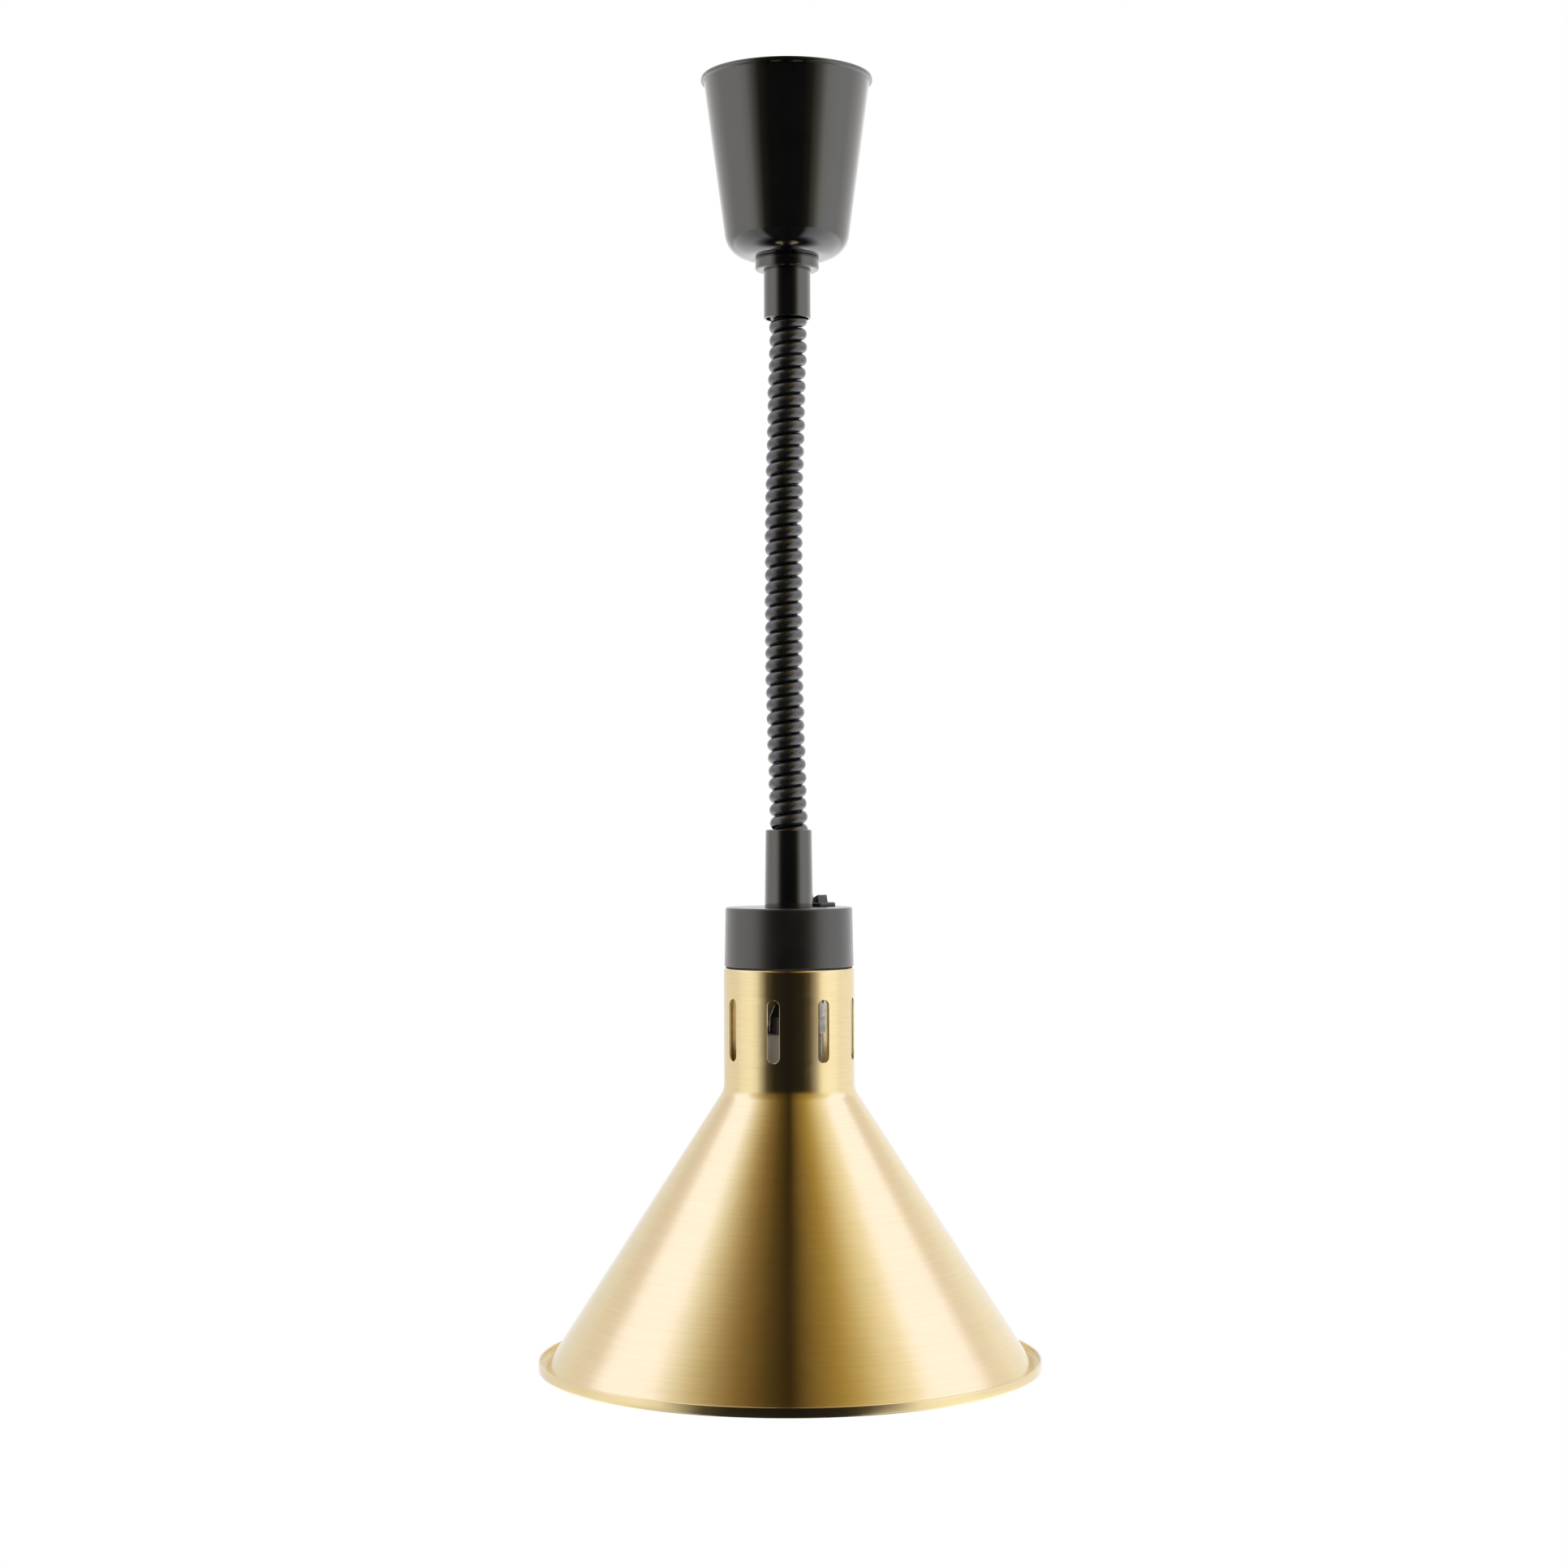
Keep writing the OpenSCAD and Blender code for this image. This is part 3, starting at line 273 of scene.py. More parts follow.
def make_wire():
    """The steel wire rope that carries the lamp, from the reel down through the coil."""
    path = [(0, 0, z) for z in np.linspace(Z_WIRE, Z_WIRE_FOOT, WIRE_RINGS)]
    points, faces = loft(tube(path, WIRE_R, WIRE_SIDES))
    wire = add_mesh("wire_rope", points, faces)
    stretch_between(wire)
    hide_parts("suspension_wire")
    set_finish(wire, "wire_steel")
    return wire


# ---------- Cup, lock ring and collar ----------

CUP_WALL = 1.6
BEAD_OUT = 1.3
BEAD_H = 2.5
CUP_TAPER = 13
CUP_FOOT_ROUND = 14
COLLAR_WALL = 1.2
SPIGOT_R = 10.75
SPIGOT_WALL = 1.5
SPIGOT_FOOT = 17
SPIGOT_SEAT = 12
RING_FIT = 0.08
RING_LIP = 0.9
LOCK_HOLE_R = 2


def make_cup():
    """A spun cup with a rolled bead at the ceiling and a soft foot round the ring."""
    top_r = BEAD_R - BEAD_OUT
    foot_r = top_r - CUP_TAPER
    hole_r = RING_R - 2.8
    z_inside = Z_FOOT + CUP_WALL
    outline = rounded([
        (top_r - CUP_WALL, 0, 0), (BEAD_R, 0, 0.8), (BEAD_R, -BEAD_H, 0.8),
        (top_r - 0.33, -BEAD_H, 0.3), (foot_r, Z_FOOT, CUP_FOOT_ROUND), (hole_r, Z_FOOT, 0.2),
        (hole_r, z_inside, 0.2), (foot_r - CUP_WALL, z_inside, CUP_FOOT_ROUND - CUP_WALL)], 16)
    cup = lathe("cup_shell", outline, "cup")
    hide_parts("ceiling_cup")
    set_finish(cup, "gloss_black")
    return cup


def make_ring():
    """The ring that locks the cup to the collar, with a rounded lower edge."""
    bore_r = COLLAR_R + RING_FIT
    lip_r = bore_r + RING_LIP
    z_lip = Z_FOOT + CUP_WALL
    ring = lathe("locking_ring", rounded([
        (bore_r, z_lip, 0.15), (lip_r, z_lip, 0.15), (lip_r, Z_FOOT, 0),
        (RING_R, Z_FOOT, 0.4), (RING_R, Z_RING, 1.2), (bore_r, Z_RING, 0.25)]), "cup")
    # The lock screw's hole, at the back
    place = Matrix.Translation((0, (RING_R - 1) * MM, (Z_FOOT + Z_RING) / 2 * MM))
    drill = bmesh.new()
    bmesh.ops.create_cone(
        drill, cap_ends=True, segments=48, radius1=LOCK_HOLE_R * MM, radius2=LOCK_HOLE_R * MM,
        depth=12 * MM, matrix=place @ Matrix.Rotation(math.pi / 2, 4, "X"))
    cut(ring, drill, "lock_screw_hole")
    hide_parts("lock_ring")
    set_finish(ring, "gloss_black")
    return ring


def cut(piece, work, name):
    """Takes a closed shape out of a piece and shades the piece again."""
    mesh = bpy.data.meshes.new(name)
    work.to_mesh(mesh)
    work.free()
    cutter = bpy.data.objects.new(name, mesh)
    bpy.context.scene.collection.objects.link(cutter)
    taker = piece.modifiers.new("cut", "BOOLEAN")
    taker.object = cutter
    taker.solver = "EXACT"
    apply_modifiers(piece)
    bpy.data.objects.remove(cutter)
    clean(piece)


def make_collar():
    """The tube that the coil comes out of, narrowed to a spigot at its top."""
    bore_r = COLLAR_R - COLLAR_WALL
    narrow_r = SPIGOT_R - SPIGOT_WALL
    z_step = Z_FOOT + SPIGOT_FOOT
    z_seat = z_step - SPIGOT_SEAT
    collar = lathe("collar_sleeve", rounded([
        (bore_r, Z_COLLAR, 0.2), (bore_r, z_seat, 0), (narrow_r, z_seat, 0),
        (narrow_r, Z_SPIGOT, 0.2), (SPIGOT_R, Z_SPIGOT, 0.3), (SPIGOT_R, z_step, 0),
        (COLLAR_R, z_step, 0.2), (COLLAR_R, Z_COLLAR, 0.5)]), "root")
    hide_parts("collar_tube")
    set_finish(collar, "gloss_black")
    return collar


# ---------- Sleeve, lamp cap and switch ----------

SWITCH_MIDDLE = (13.804, 15.493, Z_CAP)
SWITCH_TURN = math.radians(-45)
SWITCH_TILT = math.radians(12)
SWITCH_PLACE = Matrix.Translation(SWITCH_MIDDLE) @ Matrix.Rotation(SWITCH_TURN, 4, "Z")
SWITCH_HALF_L = 9.5
SWITCH_HALF_W = 5.7
ROCKER_AXIS = 0.8
SLEEVE_FLARE = 0.6
SLEEVE_WALL = 1.5
SLEEVE_SEAT = 3.2
NIPPLE_SEAT_R = 10
NIPPLE_HOLE_R = 10.1
CAP_TOP = 2
CAP_WALL = 1.5
CAP_FLARE = 0.6


def rounded_box(half_l, half_w, corner, height, steps=5):
    """A loop round a rectangle with rounded corners, in the switch's own frame."""
    loop = []
    for x, y, first in ((1, 1, 0), (-1, 1, 90), (-1, -1, 180), (1, -1, 270)):
        for k in range(steps + 1):
            a = math.radians(first + 90 * k / steps)
            loop.append((x * (half_l - corner) + corner * math.cos(a),
                         y * (half_w - corner) + corner * math.sin(a), height))
    return [tuple(SWITCH_PLACE @ Vector(p)) for p in loop]


def make_sleeve():
    """The flared sleeve that the coil goes into, above the lamp's cap."""
    top_r = SLEEVE_R - SLEEVE_FLARE
    bore_r = top_r - SLEEVE_WALL
    z_seat = Z_CAP + SLEEVE_SEAT
    sleeve = lathe("cord_sleeve", rounded([
        (bore_r, Z_SLEEVE, 0.3), (top_r, Z_SLEEVE, 0.7), (SLEEVE_R, Z_CAP, 0.25),
        (NIPPLE_SEAT_R, Z_CAP, 0.2), (NIPPLE_SEAT_R, z_seat, 0.2), (bore_r, z_seat, 0)]), "lamp")
    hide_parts("lower_sleeve")
    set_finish(sleeve, "gloss_black")
    return sleeve


def make_lamp_cap():
    """The powder-coated cap over the shade's neck, with the switch's cut-out."""
    top_r = CAP_FOOT_R - CAP_FLARE
    z_under = Z_CAP - CAP_TOP
    cap = lathe("lamp_cap_shell", rounded([
        (NIPPLE_HOLE_R, Z_CAP, 0.2), (top_r, Z_CAP, 1.2), (CAP_FOOT_R, Z_CAP_FOOT, 0.35),
        (CAP_FOOT_R - CAP_WALL, Z_CAP_FOOT, 0.25), (top_r - CAP_WALL, z_under, 0.5),
        (NIPPLE_HOLE_R, z_under, 0)]), "lamp")
    opening = [rounded_box(SWITCH_HALF_L, SWITCH_HALF_W, 0.6, z) for z in (-2 * CAP_TOP, CAP_TOP)]
    points, faces = loft(opening)
    work = bmesh.new()
    corners = [work.verts.new(Vector(p) * MM) for p in points]
    for face in faces:
        work.faces.new([corners[i] for i in face])
    bmesh.ops.recalc_face_normals(work, faces=work.faces)
    cut(cap, work, "switch_opening")
    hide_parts("lamp_cap")
    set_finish(cap, "satin_black")
    return cap


def make_switch_body():
    """The switch's bezel, its housing under the cap and the pocket for the rocker."""
    length, width = SWITCH_HALF_L, SWITCH_HALF_W
    housing = [
        (length - 0.2, width - 0.2, 0.6, -13), (length, width, 0.7, -12.8), (length, width, 0.7, 0)]
    bezel = [
        (10.4, 6.4, 1.4, 0), (10.5, 6.5, 1.5, 0.15), (10.5, 6.5, 1.5, 1.3),
        (10.42, 6.42, 1.42, 1.65), (10.2, 6.2, 1.3, 1.95), (9.85, 5.85, 1.1, 2.14),
        (9.4, 5.4, 0.9, 2.2)]
    pocket = [
        (8.25, 4.45, 0.55, 2.2), (8.02, 4.22, 0.5, 2.12), (7.9, 4.1, 0.45, 1.85),
        (7.9, 4.1, 0.45, -7)]
    loops = [rounded_box(*size) for size in housing + bezel + pocket]
    body = add_mesh("switch_bezel", *loft(loops), "lamp", sharp=40)
    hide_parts("switch_body")
    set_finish(body, "switch_black")
    return body


def make_rocker():
    """The dished rocker, tilted with its right-hand end up."""
    half, width, taper = 7, 3.8, 3
    end_v, mid_v, low_v = 5, 3.9, -3
    dish = end_v - mid_v
    dish_r = (half * half + dish * dish) / (2 * dish)
    swing = math.degrees(math.asin(half / dish_r))
    side = arc(0, mid_v + dish_r, dish_r, -90 - swing, -90 + swing, 16)
    side += [(half, 0), (half - taper, low_v), (taper - half, low_v), (-half, 0)]
    tilt = (SWITCH_PLACE @ Matrix.Translation((0, 0, ROCKER_AXIS))
            @ Matrix.Rotation(-SWITCH_TILT, 4, "Y") @ Matrix.Translation((0, 0, -ROCKER_AXIS)))
    loops = [[tuple(tilt @ Vector((u, w, v))) for u, v in side] for w in (-width, width)]
    rocker = add_mesh("rocker_key", *loft(loops), "rocker")
    edges = rocker.modifiers.new("edges", "BEVEL")
    edges.width = 0.45 * MM
    edges.segments = 3
    edges.limit_method = "ANGLE"
    edges.angle_limit = math.radians(30)
    apply_modifiers(rocker)
    clean(rocker, 50)
    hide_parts("switch_rocker")
    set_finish(rocker, "switch_black")
    return rocker


# ---------- Shade ----------

NECK_R = 35.2
SHADE_WALL = 1
CONE_ANGLE = 32.9
BEND_R = 12
Z_BEND = Z_NECK - 65.6
BEND_UP = BEND_R * math.tan(math.radians(CONE_ANGLE / 2))
LIP_T = 1.2
Z_LIP = Z_RIM + 5.5
GUTTER_R = RIM_R - LIP_T - 3
Z_GUTTER = Z_RIM + 1.4
RIM_IN = GUTTER_R - SHADE_WALL / math.cos(math.radians(CONE_ANGLE)) - 0.26
SHOULDER_R = 1.5
SLOTS = 8
SLOT_TURN = 31
SLOT_HALF_W = 3.3
SLOT_RUN = 13.3
SLOT_MIDDLE = Z_NECK - 15.9 - SLOT_HALF_W - SLOT_RUN
BAND_HALF_H = 19
BAND_TOP = SLOT_MIDDLE + BAND_HALF_H
BAND_FOOT = SLOT_MIDDLE - BAND_HALF_H
FIRST_PANEL = SLOT_TURN - 180 / SLOTS
PANEL_STEPS = AROUND // SLOTS
SIDE_STEPS = 20


def shade_outside():
    """Outer side of the shade, in two runs above and below the slotted band."""
    hole = [(NIPPLE_HOLE_R, Z_NECK - 0.2), (NIPPLE_HOLE_R + 0.2, Z_NECK)]
    shoulder = arc(NECK_R - SHOULDER_R, Z_NECK - SHOULDER_R, SHOULDER_R, 90, 0, 8)
    above = hole + line(hole[-1], shoulder[0], 5) + shoulder
    above += line(above[-1], (NECK_R, BAND_TOP), 4) + [(NECK_R, BAND_TOP)]
    bend = arc(NECK_R + BEND_R, Z_BEND + BEND_UP, BEND_R, 180, 180 + CONE_ANGLE, 10)
    below = [(NECK_R, BAND_FOOT)] + line((NECK_R, BAND_FOOT), bend[0], 5) + bend
    # The cone turns softly into the narrow gutter behind the lip
    fillet = 2.2
    back = fillet * math.tan(math.radians(90 - CONE_ANGLE) / 2)
    turn = arc(GUTTER_R + back, Z_GUTTER + fillet, fillet, 180 + CONE_ANGLE, 270, 8)
    below += line(bend[-1], turn[0], 24) + turn
    lip_in = RIM_R - LIP_T
    below += arc(lip_in - 0.5, Z_GUTTER + 0.5, 0.5, -90, 0, 4)
    below += arc(RIM_R - LIP_T / 2, Z_LIP - LIP_T / 2, LIP_T / 2, 180, 0, 10)
    below += arc(RIM_R - 1.1, Z_RIM + 1.1, 1.1, 0, -90, 6)
    return above, below


def shade_inside():
    """Inner side of the shade, from the rim up to the hole in its top."""
    inner_r = NECK_R - SHADE_WALL
    bend = arc(NECK_R + BEND_R, Z_BEND + BEND_UP, BEND_R + SHADE_WALL, 180 + CONE_ANGLE, 180, 10)
    low = [(RIM_IN + 0.9, Z_RIM), (RIM_IN + 0.2, Z_RIM + 0.12), (RIM_IN - 0.2, Z_RIM + 0.5)]
    below = low + line(low[-1], bend[0], 24) + bend
    below += line(bend[-1], (inner_r, BAND_FOOT), 5) + [(inner_r, BAND_FOOT)]
    top = Z_NECK - SHADE_WALL
    above = [(inner_r, BAND_TOP)] + line((inner_r, BAND_TOP), (inner_r, top - 0.5), 4)
    above += arc(inner_r - 0.5, top - 0.5, 0.5, 0, 90, 4)
    above += [(NIPPLE_HOLE_R + 0.2, top), (NIPPLE_HOLE_R, top + 0.2)]
    return below, above


def stadium(half_w, half_run):
    """A round-ended slot's outline in panel order: over the top, down, under and up again."""
    top = [(half_w * math.cos(a), half_run + half_w * math.sin(a))
           for a in np.linspace(math.pi, 0, PANEL_STEPS + 1)]
    right = [(half_w, half_run * (1 - 2 * k / SIDE_STEPS)) for k in range(1, SIDE_STEPS)]
    half = top + right
    return half + [(-x, -y) for x, y in half]


def panel_edge():
    """The panel's rectangle in the same order as the slot's outline."""
    half_w = math.radians(180 / SLOTS) * NECK_R
    half_h = BAND_HALF_H
    top = [(half_w * (2 * k / PANEL_STEPS - 1), half_h) for k in range(PANEL_STEPS + 1)]
    right = [(half_w, half_h * (1 - 2 * k / SIDE_STEPS)) for k in range(1, SIDE_STEPS)]
    half = top + right
    return half + [(-x, -y) for x, y in half]


def slotted_band():
    """Points and faces of the neck's band with its slots, each with softly broken edges."""
    edge = 0.18
    exact = stadium(SLOT_HALF_W, SLOT_RUN)
    opened = stadium(SLOT_HALF_W + edge, SLOT_RUN)
    frame_edge = panel_edge()
    inner_r = NECK_R - SHADE_WALL
    shares = (1, 0.72, 0.46, 0.25, 0.1, 0)
    sheet = [[(a[0] + (b[0] - a[0]) * s, a[1] + (b[1] - a[1]) * s)
              for a, b in zip(opened, frame_edge)] for s in shares]
    loops = [(NECK_R, ring) for ring in sheet]
    loops += [(NECK_R - edge, exact), (inner_r + edge, exact)]
    loops += [(inner_r, ring) for ring in reversed(sheet)]
    points, faces = [], []
    size = len(exact)
    for panel in range(SLOTS):
        middle = SLOT_TURN + 360 * panel / SLOTS
        first = len(points)
        for r, ring in loops:
            points += [at(middle + math.degrees(u / NECK_R), r, SLOT_MIDDLE + v) for u, v in ring]
        for i in range(len(loops) - 1):
            for k in range(size):
                m = (k + 1) % size
                faces.append((first + i * size + k, first + i * size + m,
                              first + (i + 1) * size + m, first + (i + 1) * size + k))
    return points, faces


def make_shade():
    """The spun shade: neck with its ring of slots, soft bend, cone, gutter and rolled lip."""
    above_out, below_out = shade_outside()
    below_in, above_in = shade_inside()
    points, faces = slotted_band()
    for outline in (above_in + above_out, below_out + below_in):
        more, skin = spin(outline, turn=FIRST_PANEL, closed=False)
        faces += [tuple(i + len(points) for i in face) for face in skin]
        points += more
    shade = add_mesh("spun_shade", points, faces, "lamp", sharp=40)
    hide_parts("shade")
    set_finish(shade, "brushed_gold")
    return shade


# ---------- Bulb ----------

GLASS_T = 1.2
FACE_EDGE = Z_FACE + 26


def curve(p, q, h, s, steps):
    """Points on a cubic curve with end points p and s and handles q and h."""
    p, q, h, s = (Vector(v) for v in (p, q, h, s))
    shares = [k / steps for k in range(steps + 1)]
    return [tuple(p * (1 - t) ** 3 + q * 3 * t * (1 - t) ** 2 + h * 3 * t * t * (1 - t) + s * t ** 3)
            for t in shares]


def glass_side(thick):
    """One side of the bulb's glass, from its seat in the cap to the middle of its face."""
    seat_r, neck_r = 11.3 - thick, 21 - thick
    z_glass = Z_BULB_TOP - 6
    z_neck = z_glass - 14
    wide = BULB_R - thick
    return ([(seat_r, Z_BULB_TOP), (seat_r, z_glass - 0.5)]
            + curve((seat_r + 0.6, z_glass - 2), (neck_r, z_glass - 6), (neck_r, z_glass - 8),
                    (neck_r, z_neck), 8)
            + curve((neck_r, z_neck - 12), (neck_r, z_neck - 40), (wide, Z_FACE + 60),
                    (wide, Z_FACE + 28), 28)
            + curve((wide, Z_FACE + 25), (wide, Z_FACE + 11),
                    (BULB_R - 14 - thick / 2, Z_FACE + 1 + thick), (0, Z_FACE + thick), 24))


def make_bulb():
    """The reflector bulb: a silvered body and a lightly frosted, crowned face."""
    outline = glass_side(0) + list(reversed(glass_side(GLASS_T)))
    bulb = lathe("reflector_bulb", outline, "lamp")
    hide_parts("bulb_glass")
    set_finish(bulb, "bulb_glass")
    return bulb


# ---------- Material helpers ----------

def join(tree, socket, value):
    """Links an output to a socket, or sets the socket's own value."""
    if isinstance(value, bpy.types.NodeSocket):
        tree.links.new(value, socket)
    else:
        socket.default_value = value


class Surface:
    """A Principled material with helpers for its noise, colour, roughness and bump."""

    def __init__(self, name, colour, roughness, metallic=0.0, **sockets):
        self.material = bpy.data.materials.new(name)
        self.material.use_nodes = True
        self.tree = self.material.node_tree
        self.shader = self.tree.nodes["Principled BSDF"]
        self.colour = colour
        self.roughness = roughness
        self.shader.inputs["Metallic"].default_value = metallic
        for socket, value in sockets.items():
            self.shader.inputs[socket.replace("_", " ")].default_value = value
        self.normal = None

    def add(self, kind, settings=(), **inputs):
        made = self.tree.nodes.new("ShaderNode" + kind)
        for setting, value in dict(settings).items():
            setattr(made, setting, value)
        for socket, value in inputs.items():
            self.put(made.inputs[socket.replace("_", " ")], value)
        return made

    def put(self, socket, value):
        join(self.tree, socket, value)

    def math(self, operation, a, b=0.0):
        made = self.add("Math", {"operation": operation})
        self.put(made.inputs[0], a)
        self.put(made.inputs[1], b)
        return made.outputs[0]

    def place(self, stretch=(1, 1, 1)):
        """Object coordinates in metres, stretched along the axes."""
        return self.vector("MULTIPLY", self.add("TexCoord").outputs["Object"], stretch)

    def vector(self, operation, a, b):
        made = self.add("VectorMath", {"operation": operation})
        self.put(made.inputs[0], a)
        self.put(made.inputs[1], b)
        return made.outputs[0]

    def round_place(self, along, up):
        """Coordinates on a circle of radius along, whatever the radius, and up times the height."""
        unit = self.vector("NORMALIZE", self.place((1, 1, 0)), (0, 0, 0))
        flat = self.vector("MULTIPLY", unit, (along, along, along))
        return self.vector("ADD", flat, self.place((0, 0, up)))

    def noise(self, vector, scale, detail=3.0, roughness=0.5):
        return self.add("TexNoise", Vector=vector, Scale=scale, Detail=detail,
                        Roughness=roughness).outputs["Fac"]

    def between(self, value, low, high):
        """Maps a noise value of about 0.3 to 0.7 onto low to high."""
        made = self.add("MapRange", Value=value)
        for socket, amount in zip(("From Min", "From Max", "To Min", "To Max"), (0.3, 0.7, low, high)):
            made.inputs[socket].default_value = amount
        return made.outputs["Result"]

    def vary_colour(self, value, darker, lighter):
        """Shifts the base colour between two shares of itself."""
        mix = self.add("Mix", {"data_type": "RGBA"})
        self.put(mix.inputs[0], self.between(value, 0.0, 1.0))
        mix.inputs[6].default_value = (*[c * darker for c in self.colour], 1)
        mix.inputs[7].default_value = (*[min(1, c * lighter) for c in self.colour], 1)
        self.put(self.shader.inputs["Base Color"], mix.outputs[2])

    def vary_roughness(self, value, spread):
        rough = self.between(value, self.roughness - spread, self.roughness + spread)
        self.put(self.shader.inputs["Roughness"], rough)

    def bump(self, value, height):
        """Adds relief of a height in metres on top of what is already there."""
        made = self.add("Bump", Height=value, Distance=height)
        if self.normal:
            self.put(made.inputs["Normal"], self.normal)
        self.normal = made.outputs["Normal"]
        self.put(self.shader.inputs["Normal"], self.normal)


# ---------- Materials ----------

def grained(name, colour, roughness, metallic, grain, stretch, relief, spread, rough_spread,
            **sockets):
    """A plain surface with grain: colour, roughness and relief vary together."""
    surface = Surface(name, colour, roughness, metallic, **sockets)
    fine = surface.noise(surface.place(stretch), grain, 4)
    broad = surface.noise(surface.place(), grain / 8, 2)
    surface.vary_colour(broad, 1 - spread, 1 + spread)
    surface.vary_roughness(fine, rough_spread)
    surface.bump(fine, relief)
    return surface.material


def gloss_black():
    """Black enamel: a deep clear gloss with a trace of orange peel and dust."""
    surface = Surface("black_enamel", (0.0025, 0.0027, 0.0028), 0.1, IOR=1.85, Coat_Weight=1.0,
                      Coat_Roughness=0.08)
    peel = surface.noise(surface.place(), 420, 2)
    dust = surface.noise(surface.place(), 60, 5, 0.65)
    surface.vary_colour(dust, 0.7, 1.5)
    surface.vary_roughness(dust, 0.03)
    surface.bump(peel, 4e-6)
    return surface.material


def satin_black():
    """Fine powder coat on the lamp's cap."""
    surface = Surface("black_powder_coat", (0.0045, 0.0045, 0.0047), 0.34, IOR=1.8, Coat_Weight=0.8,
                      Coat_Roughness=0.22)
    grain = surface.noise(surface.place(), 2600, 2, 0.6)
    cloud = surface.noise(surface.place(), 90, 3)
    surface.vary_colour(cloud, 0.8, 1.25)
    surface.vary_roughness(cloud, 0.04)
    surface.bump(grain, 2.2e-5)
    return surface.material


def brushed_gold():
    """Lacquered brass, brushed round on the spinning lathe."""
    surface = Surface("brushed_brass", (0.93, 0.77, 0.44), 0.18, 1.0, Anisotropic=0.75,
                      Anisotropic_Rotation=0.25, Coat_Weight=0.35, Coat_Roughness=0.12)
    surface.shader.inputs["Specular Tint"].default_value = (0.84, 0.84, 0.88, 1)
    tangent = surface.add("Tangent", {"direction_type": "RADIAL", "axis": "Z"})
    surface.put(surface.shader.inputs["Tangent"], tangent.outputs[0])
    hair = surface.noise(surface.round_place(7, 5200), 1, 3, 0.6)
    streak = surface.noise(surface.round_place(2.5, 900), 1, 3, 0.6)
    cloud = surface.noise(surface.place(), 16, 3)
    surface.vary_colour(streak, 0.965, 1.03)
    surface.vary_roughness(surface.math("ADD", surface.math("MULTIPLY", hair, 0.6),
                                        surface.math("MULTIPLY", cloud, 0.4)), 0.04)
    surface.bump(hair, 1.5e-6)
    # The spun metal is not quite true, so borders of reflections waver
    surface.bump(surface.noise(surface.place(), 75, 1.5), 5e-5)
    return surface.material


def cord_black():
    """Satin rubber of the curly cord."""
    surface = Surface("cord_rubber", (0.006, 0.006, 0.0065), 0.27, IOR=1.9, Coat_Weight=0.6,
                      Coat_Roughness=0.15)
    cloud = surface.noise(surface.place(), 140, 4)
    surface.vary_colour(cloud, 0.75, 1.3)
    surface.vary_roughness(cloud, 0.05)
    surface.bump(surface.noise(surface.place(), 1500, 2), 1.2e-5)
    return surface.material


def wire_rope():
    """Fine strands laid round the wire, with painted shade darkening the grooves between them."""
    surface = Surface("wire_rope_steel", (0.6, 0.61, 0.62), 0.3, 1.0)
    parts = surface.add("SeparateXYZ", Vector=surface.place())
    angle = surface.math("ARCTAN2", parts.outputs["Y"], parts.outputs["X"])
    turn = surface.math("MULTIPLY", parts.outputs["Z"], FULL_TURN / 0.008)
    lay_relief_and_painted_shade = surface.math("SINE", surface.math("MULTIPLY", surface.math("ADD", angle, turn), 7))
    # Painted shade: the colour darkens in the grooves between strands, following the same lay as the
    # relief
    surface.vary_colour(surface.math("MULTIPLY_ADD", lay_relief_and_painted_shade, 0.2), 0.6, 1.05)
    surface.vary_roughness(surface.noise(surface.place(), 800, 3), 0.06)
    surface.bump(lay_relief_and_painted_shade, 6e-5)
    return surface.material


def bulb_silver():
    """The bulb's inner mirror, seen through its glass."""
    surface = Surface("bulb_mirror", (0.82, 0.83, 0.84), 0.2, 1.0)
    cloud = surface.noise(surface.place(), 45, 4)
    surface.vary_colour(cloud, 0.88, 1.04)
    surface.vary_roughness(cloud, 0.06)
    surface.bump(surface.noise(surface.place(), 120, 2), 3e-5)
    surface.shader.inputs["Coat Weight"].default_value = 0.8
    surface.shader.inputs["Coat Roughness"].default_value = 0.03
    return surface.material


def bulb_face():
    """The lightly frosted face that the heat comes out of."""
    surface = Surface("bulb_frosted_face", (0.93, 0.94, 0.95), 0.32, IOR=1.5)
    surface.shader.inputs["Transmission Weight"].default_value = 1
    etch = surface.noise(surface.place(), 1800, 3)
    cloud = surface.noise(surface.place(), 50, 3)
    surface.vary_colour(cloud, 0.95, 1.03)
    surface.vary_roughness(cloud, 0.05)
    surface.bump(etch, 2e-5)
    return surface.material


def clear_glass():
    """The bulb's glass stem, with a few seeds in it."""
    surface = Surface("stem_clear_glass", (0.93, 0.96, 0.96), 0.04, IOR=1.5)
    surface.shader.inputs["Transmission Weight"].default_value = 1
    seed = surface.noise(surface.place(), 220, 3)
    surface.vary_colour(seed, 0.94, 1.02)
    surface.vary_roughness(seed, 0.02)
    surface.bump(seed, 2e-5)
    return surface.material


def porcelain():
    """White steatite under a thin glaze, a little stained by heat."""
    surface = Surface("glazed_porcelain", (0.74, 0.71, 0.65), 0.22, IOR=1.5)
    stain = surface.noise(surface.place(), 70, 5, 0.6)
    speck = surface.noise(surface.place(), 900, 3, 0.7)
    surface.vary_colour(stain, 0.86, 1.08)
    surface.vary_roughness(speck, 0.06)
    surface.bump(surface.noise(surface.place(), 260, 3), 4e-5)
    return surface.material


